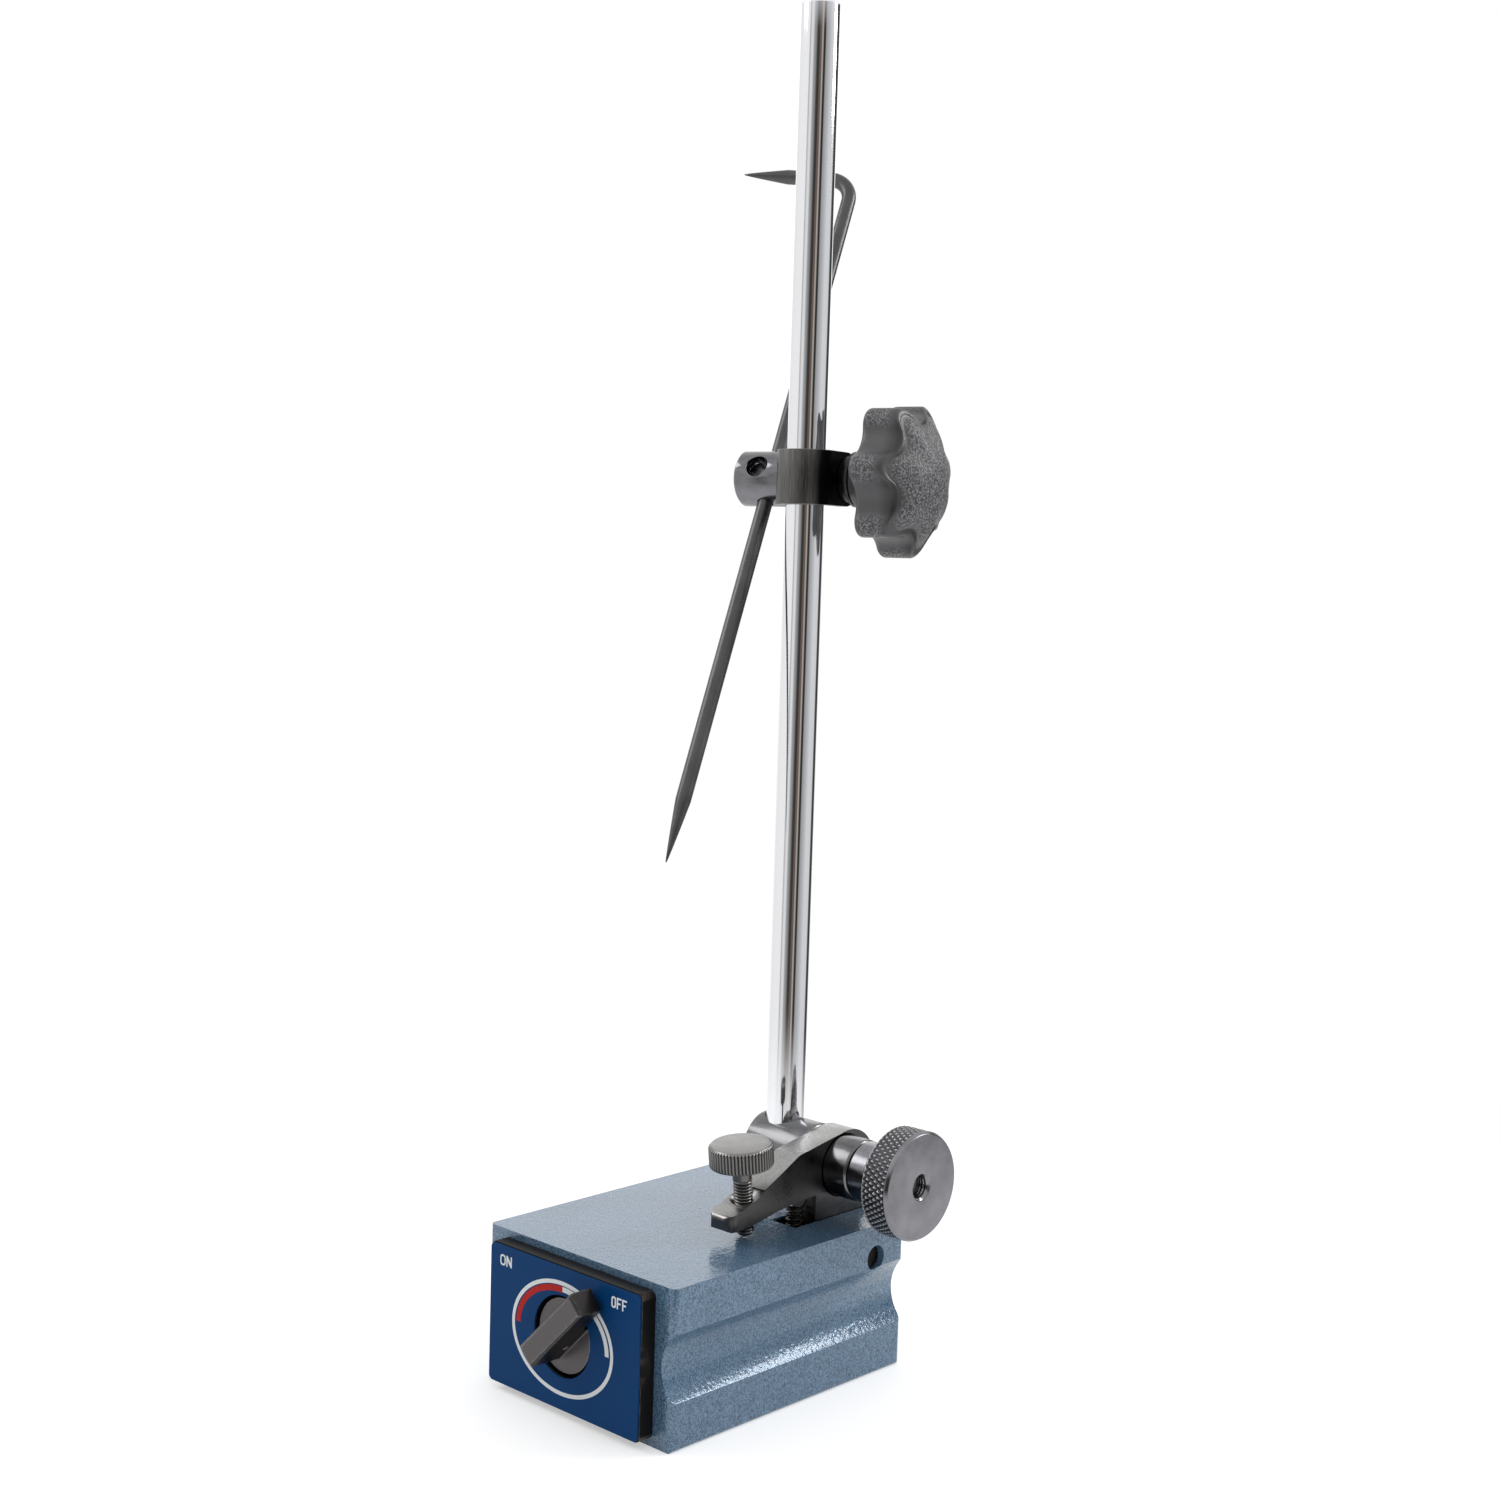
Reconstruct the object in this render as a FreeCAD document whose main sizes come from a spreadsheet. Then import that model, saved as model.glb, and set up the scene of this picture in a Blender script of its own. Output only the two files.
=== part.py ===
import FreeCAD, Part
import math
import os
from types import SimpleNamespace

import Sketcher

# A surface gauge: a switchable magnetic base, a tilting rocker with a fine screw, a clamped
# spindle and a scriber in its own clamp. Millimetres, +Z up, the dial faces -Y, the clamp
# knob is on +X, and the origin is the middle of the sole.

Vector = FreeCAD.Vector
Rotation = FreeCAD.Rotation
doc = FreeCAD.newDocument("surface_gauge")

SIZES = {
    # Magnetic base: two steel poles brazed to a brass strip
    "base_width": 66.0,
    "base_length": 83.4,
    "base_height": 39.2,
    "corner_radius": 1.5,
    "sole_chamfer": 0.8,
    "strip_width": 4.0,
    "groove_mid_share": 0.5102,
    "groove_height": 16.4,
    "groove_radius": 10.9,
    "rotor_height_share": 0.5153,
    "bore_radius": 12.5,
    "bore_depth": 52.7,
    # Slot in the right pole for the rocker's foot, and the pin it tilts on
    "rocker_across": 16.5,
    "rocker_thickness": 8.0,
    "rocker_side_gap": 0.3,
    "slot_front": 13.2,
    "slot_depth": 14.2,
    "pivot_y": 30.5,
    "pivot_depth": 8.6,
    "pin_radius": 3.2,
    "pin_recess": 1.6,
    "pin_inner_reach": 7.0,
    # Rotor: a magnet slab between two soft iron shoes, turned by a brass spigot
    "running_gap": 0.05,
    "end_gap": 0.3,
    "magnet_thickness": 8.0,
    "rotor_disc": 3.0,
    "spigot_radius": 2.0,
    "spigot_in_lever": 4.2,
    "stop_circle": 7.6,
    "stop_radius": 1.2,
    "stop_in_disc": 1.8,
    "stop_in_plate": 0.8,
    "stop_start_angle": 225.0,
    "switch_angle": 90.0,
    # Front plate and the printed dial on it
    "plate_width": 53.9,
    "plate_bottom": 1.9,
    "plate_top_drop": 1.8,
    "plate_thickness": 4.33,
    "plate_corner": 1.6,
    "plate_scoop_radius": 18.0,
    "plate_scoop_depth": 0.9,
    "plate_scoop_angle": 17.0,
    "dial_thickness": 0.4,
    "dial_margin": 0.3,
    "recess_radius": 10.0,
    "recess_depth": 3.0,
    "screw_across": 21.5,
    "screw_inset": 4.55,
    "screw_radius": 2.0,
    "screw_head_radius": 3.7,
    "screw_length": 11.0,
    # Switch lever
    "hub_radius": 9.2,
    "hub_sink": 0.8,
    "lever_width": 6.0,
    "lever_tail": 5.8,
    "lever_reach": 18.6,
    "lever_height": 8.3,
    "lever_lift": 1.3,
    "lever_edge": 0.6,
    "lever_angle": 45.0,
    "lever_pin_radius": 0.75,
    "lever_pin_height": 1.4,
    # Clamp axis on the rocker, and the rocker's forging
    "clamp_y": 31.0,
    "clamp_rise": 12.85,
    "eye_radius": 10.2,
    "eye_back": 2.4,
    "eye_drop": 1.35,
    "eye_blend_angle": 12.0,
    "tip_front": 10.9,
    "tip_foot": 9.65,
    "tip_low": 3.3,
    "tip_high": 6.8,
    "tip_corner": 3.0,
    "nose_radius": 1.2,
    "under_front": 1.8,
    "arch_low": 3.9,
    "arch_high": 6.7,
    "arch_end": 19.2,
    "arch_radius": 112.0,
    "foot_front": 20.9,
    "foot_rear": 41.2,
    "foot_shoulder": 0.4,
    "foot_radius": 5.2,
    "brow_front": -5.6,
    "brow_low": 8.4,
    "brow_mid": 6.8,
    "brow_rise": 14.6,
    "brow_back": 14.1,
    "brow_high": 18.4,
    "flank_depth": 2.3,
    "flank_front": 23.4,
    "flank_low": 8.6,
    "flank_mid": 31.0,
    "flank_mid_low": 5.9,
    "flank_rear": 38.7,
    "flank_rear_low": 2.5,
    # Spring in front of the rocker's foot
    "spring_y": 17.4,
    "spring_radius": 1.95,
    "spring_wire": 0.7,
    "spring_rise": 6.3,
    # Fine screw: its axis leans towards the front, square to the rocker
    "screw_foot_y": -0.9,
    "screw_lean": 6.3,
    "screw_foot_gap": 0.25,
    "fine_radius": 2.45,
    "fine_tip_radius": 1.6,
    "fine_tip_dome": 4.0,
    "fine_tip_length": 1.2,
    "fine_head_radius": 8.1,
    "fine_head_top": 23.85,
    "fine_head_height": 5.6,
    "fine_head_edge": 0.7,
    "fine_mouth_radius": 3.6,
    "fine_mouth_height": 8.2,
    # Spindle clamp on the rocker
    "face_gap": 0.3,
    "sleeve_radius": 9.0,
    "sleeve_left": 7.0,
    "sleeve_wall_end": 8.0,
    "sleeve_edge": 0.6,
    "stud_head_radius": 7.0,
    "stud_head_left": 6.5,
    "stud_head_right": 7.6,
    "stud_radius": 2.5,
    "stud_end": 44.0,
    "lip_chamfer": 1.0,
    "collar_radius": 8.0,
    "collar_end": 28.1,
    "collar_edge": 0.5,
    "knob_start": 28.4,
    "knob_hub_radius": 7.95,
    "knob_hub_end": 36.8,
    "knob_back_radius": 12.0,
    "knob_grip_radius": 13.9,
    "knob_grip_start": 38.5,
    "knob_grip_end": 45.6,
    "knob_face_radius": 13.3,
    "knob_face": 46.5,
    "knob_sink_radius": 3.5,
    # Spindle
    "spindle_radius": 5.0,
    "spindle_length": 304.8,
    "spindle_below": 9.55,
    "spindle_chamfer": 0.5,
    # Scriber clamp, carried by a strap round the spindle
    "holder_up": 185.8,
    "holder_turn": 14.0,
    "holder_stud_back": 8.75,
    "strap_thickness": 2.5,
    "strap_half_height": 7.0,
    "spacer_radius": 6.0,
    "spacer_length": 2.3,
    "washer_radius": 7.2,
    "washer_length": 1.2,
    "head_radius": 7.3,
    "head_length": 14.7,
    "head_bore_radius": 4.6,
    "head_wall": 2.2,
    "head_edge": 0.5,
    "holder_stud_inset": 0.4,
    "holder_stud_radius": 2.5,
    "holder_stud_end": 22.0,
    "scriber_across": 14.8,
    "spare_across": 16.0,
    "spare_hole_radius": 3.0,
    "spare_hole_chamfer": 0.3,
    # Star knob
    "star_hub_radius": 7.6,
    "star_hub_length": 5.8,
    "star_radius": 20.0,
    "star_edge": 7.5,
    "star_dome": 17.3,
    "star_valley": 16.0,
    "star_lobe": 3.6,
    "star_turn": 5.9,
    "star_round": 1.5,
    "insert_radius": 5.0,
    "insert_length": 12.0,
    # Scriber
    "scriber_radius": 2.0,
    "scriber_lean": 26.5,
    "scriber_below": 108.4,
    "scriber_above": 94.5,
    "scriber_point": 16.6,
    "scriber_bend": 7.0,
    "scriber_arm": 32.5,
    "scriber_arm_point": 13.0,
    "scriber_point_radius": 0.15,
    "scriber_arm_turn": 11.0,
    # One overrun serves every cut
    "overrun": 2.0,
}

SPRING_TURNS = 11
LOBES = 7
FULL_TURN = 360.0
QUARTER_TURN = 90.0
HALF_TURN = 180.0
STEPS_PER_TURN = 4

ALONG_X = Rotation(Vector(0, 1, 0), QUARTER_TURN)
ALONG_FRONT = Rotation(Vector(1, 0, 0), QUARTER_TURN)
UPRIGHT = Rotation()


class Size:
    """A number of the sheet, or a sum of such, with the formula that binds a drawing to it."""

    def __init__(self, number, formula):
        self.number = float(number)
        self.formula = formula

    def __add__(self, other):
        other = size(other)
        return Size(self.number + other.number, "(%s + %s)" % (self.formula, other.formula))

    def __sub__(self, other):
        other = size(other)
        return Size(self.number - other.number, "(%s - %s)" % (self.formula, other.formula))

    def __mul__(self, other):
        other = size(other)
        return Size(self.number * other.number, "(%s * %s)" % (self.formula, other.formula))

    def __truediv__(self, other):
        other = size(other)
        return Size(self.number / other.number, "(%s / %s)" % (self.formula, other.formula))

    def __neg__(self):
        return Size(-self.number, "(0 - %s)" % self.formula)

    __radd__ = __add__
    __rmul__ = __mul__


def size(value):
    if isinstance(value, Size):
        return value
    return Size(value, repr(float(value)))


def sine(angle):
    return Size(math.sin(math.radians(angle.number)), "sin(%s)" % angle.formula)


def cosine(angle):
    return Size(math.cos(math.radians(angle.number)), "cos(%s)" % angle.formula)


def root(value):
    return Size(math.sqrt(value.number), "sqrt(%s)" % value.formula)


def make_sheet():
    """Writes the driving dimensions to the sheet and returns them by name."""
    sheet = doc.addObject("Spreadsheet::Sheet", "Sizes")
    for row, (name, number) in enumerate(SIZES.items(), start=1):
        sheet.set("A%d" % row, name)
        sheet.set("B%d" % row, str(number))
        sheet.setAlias("B%d" % row, name)
    doc.recompute()
    return SimpleNamespace(**{name: Size(sheet.get(name), "Sizes." + name) for name in SIZES})


S = make_sheet()
ZERO = size(0)


# Heights: what stands in or on the base is measured from its top
top = S.base_height
rotor_height = top * S.rotor_height_share
groove_mid = top * S.groove_mid_share
slot_floor = top - S.slot_depth
pivot_z = top - S.pivot_depth
plate_top = top - S.plate_top_drop
screw_up = (plate_top - S.plate_bottom) / 2 - S.screw_inset
clamp_z = top + S.clamp_rise
spring_top = top + S.spring_rise
spindle_bottom = clamp_z - S.spindle_below
holder_z = spindle_bottom + S.holder_up

# Planes and places that several pieces share
base_front = -S.base_length / 2
plate_front = base_front - S.plate_thickness
dial_front = plate_front - S.dial_thickness
recess_floor = dial_front + S.recess_depth
hub_front = dial_front + S.hub_sink
hub_back = recess_floor - S.end_gap
lever_top = dial_front - S.lever_height
rotor_radius = S.bore_radius - S.running_gap
rotor_front = base_front + S.end_gap
rotor_back = base_front + S.bore_depth - S.end_gap
rocker_left = S.rocker_across - S.rocker_thickness / 2
rocker_right = S.rocker_across + S.rocker_thickness / 2
flank = rocker_right - S.flank_depth
pin_hole_radius = S.pin_radius + S.running_gap
stud_hole_radius = S.stud_radius + S.running_gap
stud_hole_in_holder = S.holder_stud_radius + S.running_gap
plate_middle = (S.plate_bottom + plate_top) / 2
spindle_hole_radius = S.spindle_radius + S.running_gap
scriber_hole_radius = S.scriber_radius + S.running_gap
strap_outer = spindle_hole_radius + S.strap_thickness
sleeve_right = rocker_left - S.face_gap
head_right = -strap_outer - S.face_gap
head_left = head_right - S.head_length
star_start = strap_outer + S.spacer_length + S.washer_length + S.face_gap


def bind(thing, **sizes):
    """Binds a thing's properties to the sheet."""
    for name, value in sizes.items():
        thing.setExpression(name, size(value).formula)


def place(thing, x, y, z, turn=UPRIGHT):
    """Turns a thing and binds where its own origin lies."""
    thing.Placement = FreeCAD.Placement(Vector(), turn)
    for axis, value in zip("xyz", (x, y, z)):
        thing.setExpression("Placement.Base." + axis, size(value).formula)
    return thing


def named(thing, name):
    """Gives a finished sub-part its own name."""
    thing.Label = name
    return thing


def box(name, x_range, y_range, z_range):
    thing = doc.addObject("Part::Box", name)
    bind(thing, Length=x_range[1] - x_range[0])
    bind(thing, Width=y_range[1] - y_range[0])
    bind(thing, Height=z_range[1] - z_range[0])
    return place(thing, x_range[0], y_range[0], z_range[0])


def rod(name, radius, length):
    """A cylinder along its own +Z."""
    thing = doc.addObject("Part::Cylinder", name)
    bind(thing, Radius=radius, Height=length)
    return thing


def cone(name, first_radius, last_radius, length):
    thing = doc.addObject("Part::Cone", name)
    bind(thing, Radius1=first_radius, Radius2=last_radius, Height=length)
    return thing


def fuse(name, *pieces):
    thing = doc.addObject("Part::MultiFuse", name)
    thing.Shapes = list(pieces)
    return thing


def common(name, first, second):
    thing = doc.addObject("Part::Common", name)
    thing.Base = first
    thing.Tool = second
    return thing


def cut(name, blank, *tools):
    thing = doc.addObject("Part::Cut", name)
    thing.Base = blank
    thing.Tool = tools[0] if len(tools) == 1 else fuse(name + "_cutters", *tools)
    return thing


def sketch_in(body, plane, name):
    sketch = body.newObject("Sketcher::SketchObject", name)
    origin_plane = next(item for item in body.Origin.OriginFeatures if item.Role == plane)
    sketch.AttachmentSupport = [(origin_plane, "")]
    sketch.MapMode = "FlatFace"
    return sketch


def hold_point(sketch, edge, end, x, y):
    """Fixes one end of an edge at two sizes from the sketch's origin."""
    for kind, value in (("DistanceX", size(x)), ("DistanceY", size(y))):
        index = sketch.addConstraint(Sketcher.Constraint(kind, -1, 1, edge, end, value.number))
        sketch.setExpression("Constraints[%d]" % index, value.formula)


def draw_circle(sketch, x, y, radius):
    centre = Vector(size(x).number, size(y).number, 0)
    edge = sketch.addGeometry(Part.Circle(centre, Vector(0, 0, 1), radius.number), False)
    hold_point(sketch, edge, 3, x, y)
    index = sketch.addConstraint(Sketcher.Constraint("Radius", edge, radius.number))
    sketch.setExpression("Constraints[%d]" % index, radius.formula)


def draw_arc(sketch, start, end, radius, turn):
    """An arc from start to end, to the left if turn is 1, and which of its ends is its start."""
    chord = end - start
    reach = math.sqrt(max(radius.number ** 2 - chord.Length ** 2 / 4, 0))
    side = Vector(-chord.y, chord.x, 0).normalize() * reach * turn
    centre = (start + end) / 2 + side
    first, last = (start, end) if turn == 1 else (end, start)
    angles = [math.atan2(point.y - centre.y, point.x - centre.x) for point in (first, last)]
    circle = Part.Circle(centre, Vector(0, 0, 1), radius.number)
    edge = sketch.addGeometry(Part.ArcOfCircle(circle, angles[0], angles[1]), False)
    index = sketch.addConstraint(Sketcher.Constraint("Radius", edge, radius.number))
    sketch.setExpression("Constraints[%d]" % index, radius.formula)
    return edge, 1 if turn == 1 else 2


def draw(sketch, corners, closed=True):
    """Draws an outline through its corners. A corner with a radius and a turn starts an arc."""
    points = [Vector(size(corner[0]).number, size(corner[1]).number, 0) for corner in corners]
    ends = points[1:] + points[:1] if closed else points[1:]
    edges = []
    for corner, start, end in zip(corners, points, ends):
        if len(corner) == 2:
            edges.append((sketch.addGeometry(Part.LineSegment(start, end), False), 1))
        else:
            edges.append(draw_arc(sketch, start, end, size(corner[2]), corner[3]))
    nexts = edges[1:] + edges[:1] if closed else edges[1:]
    for (edge, first), (other, other_first) in zip(edges, nexts):
        sketch.addConstraint(Sketcher.Constraint("Coincident", edge, 3 - first, other, other_first))
    for (edge, first), corner in zip(edges, corners):
        hold_point(sketch, edge, first, corner[0], corner[1])
    if not closed:
        edge, first = edges[-1]
        hold_point(sketch, edge, 3 - first, corners[-1][0], corners[-1][1])


def plate(name, plane, outline, thickness, centred=False):
    """A body padded from one outline, across both sides of its plane if it is centred."""
    body = doc.addObject("PartDesign::Body", name)
    sketch = sketch_in(body, plane, name + "_outline")
    draw(sketch, outline)
    pad = body.newObject("PartDesign::Pad", name + "_pad")
    pad.Profile = sketch
    if centred:
        pad.SideType = "Symmetric"
    bind(pad, Length=thickness)
    return body


def pocket_circles(body, plane, name, circles, depth, through=False):
    """Cuts round holes into a body from one of its own planes, both ways if they go through."""
    sketch = sketch_in(body, plane, name)
    for x, y, radius in circles:
        draw_circle(sketch, x, y, radius)
    pocket = body.newObject("PartDesign::Pocket", name + "_pocket")
    pocket.Profile = sketch
    if through:
        pocket.SideType = "Symmetric"
    bind(pocket, Length=depth)
    return pocket


def turned(name, outline):
    """A body turned about its own Z from an outline of (radius, height) corners."""
    body = doc.addObject("PartDesign::Body", name)
    sketch = sketch_in(body, "XZ_Plane", name + "_outline")
    draw(sketch, outline)
    turning = body.newObject("PartDesign::Revolution", name + "_turning")
    turning.Profile = sketch
    turning.ReferenceAxis = (sketch, ["V_Axis"])
    turning.Angle = FULL_TURN
    return body


def rounded_rectangle(left, right, low, high, radius):
    """Corners of a rectangle with round corners, anticlockwise from the low left."""
    return [
        (left + radius, low),
        (right - radius, low, radius, 1),
        (right, low + radius),
        (right, high - radius, radius, 1),
        (right - radius, high),
        (left + radius, high, radius, 1),
        (left, high - radius),
        (left, low + radius, radius, 1),
    ]


# The magnetic base

def side_profile(inner):
    """Half of the base seen from the front: a sole chamfer and a round groove in the side."""
    side = S.base_width / 2
    low = groove_mid - S.groove_height / 2
    high = groove_mid + S.groove_height / 2
    return [
        (inner, ZERO),
        (side - S.sole_chamfer, ZERO),
        (side, S.sole_chamfer),
        (side, low, S.groove_radius, -1),
        (side, high),
        (side, S.base_height),
        (inner, S.base_height),
    ]


def base_bore(name):
    """The rotor's blind bore, open at the front."""
    bore = rod(name, S.bore_radius, S.bore_depth + S.overrun)
    return place(bore, ZERO, base_front + S.bore_depth, rotor_height, ALONG_FRONT)


def screw_holes(name, sides):
    """Tapping holes for the plate's screws, on the given sides of the middle."""
    holes = []
    for side in sides:
        for level in (-1, 1):
            hole = rod("%s_%d" % (name, len(holes)), S.screw_radius, S.screw_length + S.overrun)
            x = S.screw_across * side
            z = plate_middle + screw_up * level
            place(hole, x, plate_front + S.screw_length, z, ALONG_FRONT)
            holes.append(hole)
    return holes


def pole_blank(name, side):
    """One grooved and round-cornered half of the base, on the side of X that side gives."""
    profile = plate(name + "_profile", "XZ_Plane", side_profile(S.strip_width / 2), S.base_length, True)
    half = S.base_length / 2
    width = S.base_width / 2
    plan = plate(name + "_plan", "XY_Plane", [
        (ZERO, -half),
        (width - S.corner_radius, -half, S.corner_radius, 1),
        (width, -half + S.corner_radius),
        (width, half - S.corner_radius, S.corner_radius, 1),
        (width - S.corner_radius, half),
        (ZERO, half),
    ], S.base_height)
    blank = common(name + "_blank", profile, plan)
    if side == -1:
        blank.Placement = FreeCAD.Placement(Vector(), Rotation(Vector(0, 0, 1), HALF_TURN))
    return blank


def make_pole_left():
    blank = pole_blank("pole_left", -1)
    holes = screw_holes("pole_left_tap", [-1])
    return named(cut("pole_left_cut", blank, base_bore("pole_left_bore"), *holes), "pole_left")


def make_pole_right():
    """The right pole also has the rocker's slot, open at the rear, and the pivot pin's hole."""
    blank = pole_blank("pole_right", 1)
    slot = box(
        "rocker_slot",
        (rocker_left - S.rocker_side_gap, rocker_right + S.rocker_side_gap),
        (S.slot_front, S.base_length / 2 + S.overrun),
        (slot_floor, S.base_height + S.overrun),
    )
    reach = S.base_width / 2 - rocker_left + S.pin_inner_reach
    hole = rod("pivot_hole", pin_hole_radius, reach + S.overrun)
    place(hole, rocker_left - S.pin_inner_reach, S.pivot_y, pivot_z, ALONG_X)
    holes = screw_holes("pole_right_tap", [1])
    bore = base_bore("pole_right_bore")
    return named(cut("pole_right_cut", blank, bore, slot, hole, *holes), "pole_right")


def make_pole_separator():
    """The brass strip between the poles, cut away where the rotor's bore crosses it."""
    half = S.strip_width / 2
    strip = box("strip", (-half, half), (base_front, -base_front), (ZERO, S.base_height))
    return named(cut("strip_cut", strip, base_bore("strip_bore")), "pole_separator")


def make_pivot_pin():
    length = S.base_width / 2 - S.pin_recess - rocker_left + S.pin_inner_reach
    pin = turned("pivot_pin", [
        (ZERO, ZERO),
        (S.pin_radius - S.collar_edge, ZERO),
        (S.pin_radius, S.collar_edge),
        (S.pin_radius, length - S.collar_edge),
        (S.pin_radius - S.collar_edge, length),
        (ZERO, length),
    ])
    return place(pin, rocker_left - S.pin_inner_reach, S.pivot_y, pivot_z, ALONG_X)


def scoop_cutter(name, side):
    """A round cutter that grazes the plate's side where it meets the front, halfway up."""
    angle = S.plate_scoop_angle
    radius = S.plate_scoop_radius
    reach = S.plate_thickness + S.overrun
    cutter = rod(name, radius, reach * 2)
    away = radius / cosine(angle) - S.plate_scoop_depth + reach * sine(angle)
    lean = Rotation(Vector(0, 0, 1), -angle.number * side)
    x = (S.plate_width / 2 + away) * side
    y = plate_front + reach * cosine(angle)
    return place(cutter, x, y, rotor_height, lean.multiply(ALONG_FRONT))


def make_front_plate():
    """The black plate: a round recess for the lever's hub and a stop slot behind it."""
    half = S.plate_width / 2
    outline = rounded_rectangle(-half, half, S.plate_bottom, plate_top, S.plate_corner)
    blank = plate("front_plate_blank", "XZ_Plane", outline, S.plate_thickness)
    place(blank, ZERO, base_front, ZERO)
    recess = rod("plate_recess", S.recess_radius, S.recess_depth + S.overrun)
    place(recess, ZERO, recess_floor, rotor_height, ALONG_FRONT)
    spigot = rod("plate_spigot_hole", S.spigot_radius + S.running_gap, S.plate_thickness + S.overrun * 2)
    place(spigot, ZERO, base_front + S.overrun, rotor_height, ALONG_FRONT)
    scoops = [scoop_cutter("plate_scoop_right", 1), scoop_cutter("plate_scoop_left", -1)]
    screws = screw_shapes("plate_hole", [(ZERO, -S.overrun), (S.screw_head_radius, -S.overrun)])
    cutters = [recess, spigot, stop_slot()] + scoops + screws
    return named(cut("front_plate_cut", blank, *cutters), "front_plate")


def stop_slot():
    """The quarter-circle slot that the stop pin runs in, cut in the plate's back."""
    middle = S.stop_circle
    gap = S.stop_radius + S.end_gap
    ends = []
    for angle in (S.stop_start_angle, S.stop_start_angle + S.switch_angle):
        ends.append((cosine(angle), sine(angle)))
    (start_x, start_z), (end_x, end_z) = ends
    inner = middle - gap
    outer = middle + gap
    slot = plate("stop_slot", "XZ_Plane", [
        (outer * start_x, outer * start_z, outer, 1),
        (outer * end_x, outer * end_z, gap, 1),
        (middle * end_x - gap * end_z, middle * end_z + gap * end_x, gap, 1),
        (inner * end_x, inner * end_z, inner, -1),
        (inner * start_x, inner * start_z, gap, 1),
        (middle * start_x + gap * start_z, middle * start_z - gap * start_x, gap, 1),
    ], S.stop_in_plate + S.end_gap + S.overrun)
    return place(slot, ZERO, base_front + S.overrun, rotor_height)


def screw_shapes(name, front):
    """Countersunk screws at the plate's corners, or cutters for them, from their front corners."""
    end = S.screw_length - S.end_gap
    screws = []
    for side in (-1, 1):
        for level in (-1, 1):
            screw = turned("%s_%d" % (name, len(screws)), front + [
                (S.screw_head_radius, ZERO),
                (S.screw_radius, S.screw_head_radius - S.screw_radius),
                (S.screw_radius, end),
                (ZERO, end),
            ])
            z = plate_middle + screw_up * level
            place(screw, S.screw_across * side, plate_front, z, Rotation(Vector(1, 0, 0), -QUARTER_TURN))
            screws.append(screw)
    return screws


def make_plate_screws():
    return named(fuse("screw_group", *screw_shapes("plate_screw", [(ZERO, ZERO)])), "plate_screws")


def make_dial_label():
    """The thin printed dial, a little smaller than the plate."""
    half = S.plate_width / 2 - S.dial_margin
    low = S.plate_bottom + S.dial_margin
    high = plate_top - S.dial_margin
    outline = rounded_rectangle(-half, half, low, high, S.plate_corner - S.dial_margin)
    dial = plate("dial_label", "XZ_Plane", outline, S.dial_thickness)
    depth = (S.dial_thickness + S.overrun) * 2
    pocket_circles(dial, "XZ_Plane", "dial_hole", [(ZERO, rotor_height, S.recess_radius)], depth, True)
    return place(dial, ZERO, plate_front, ZERO)


# The rotor and its switch

def rotor_rod(name):
    """The round outline that the magnet and its shoes share."""
    thing = rod(name, rotor_radius, rotor_back - rotor_front - S.rotor_disc)
    return place(thing, ZERO, rotor_back, rotor_height, ALONG_FRONT)


def magnet_slab(name):
    half = S.magnet_thickness / 2
    low = rotor_height - half
    across = (-rotor_radius, rotor_radius)
    return box(name, across, (rotor_front + S.rotor_disc, rotor_back), (low, low + S.magnet_thickness))


def make_rotor_magnet():
    trimmed = common("magnet_trim", magnet_slab("magnet_slab"), rotor_rod("magnet_round"))
    return named(trimmed, "rotor_magnet")


def make_rotor_shoes():
    return named(cut("shoes_cut", rotor_rod("shoes_round"), magnet_slab("shoes_gap")), "rotor_shoes")


def make_rotor_spigot():
    """The brass disc in front of the magnet, with the spigot that carries the lever."""
    length = rotor_front - hub_front + S.spigot_in_lever
    spigot = turned("rotor_spigot_blank", [
        (ZERO, ZERO),
        (rotor_radius, ZERO),
        (rotor_radius, S.rotor_disc),
        (S.spigot_radius, S.rotor_disc),
        (S.spigot_radius, S.rotor_disc + length),
        (ZERO, S.rotor_disc + length),
    ])
    place(spigot, ZERO, rotor_front + S.rotor_disc, rotor_height, ALONG_FRONT)
    return named(cut("rotor_spigot_cut", spigot, stop_rod("spigot_stop_hole"), cross_pin("spigot_pin_hole")),
                 "rotor_spigot")


def stop_rod(name):
    """The stop pin's own cylinder, in the disc and out into the plate's slot."""
    length = S.stop_in_disc + S.end_gap + S.stop_in_plate
    x = S.stop_circle * cosine(S.stop_start_angle)
    z = rotor_height + S.stop_circle * sine(S.stop_start_angle)
    return place(rod(name, S.stop_radius, length), x, rotor_front + S.stop_in_disc, z, ALONG_FRONT)


def make_stop_pin():
    return named(stop_rod("stop_rod"), "stop_pin")


def cross_pin(name):
    """The pin across the lever's root that holds it on the spigot, flush with both sides."""
    turn = Rotation(Vector(0, 1, 0), -S.lever_angle.number)
    half = S.lever_width / 2
    x = -half * cosine(S.lever_angle + QUARTER_TURN)
    z = rotor_height - half * sine(S.lever_angle + QUARTER_TURN)
    return place(rod(name, S.lever_pin_radius, S.lever_width), x, hub_front - S.lever_pin_height, z, turn)


def make_lever_pin():
    return named(cross_pin("lever_pin_rod"), "lever_pin")


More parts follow.
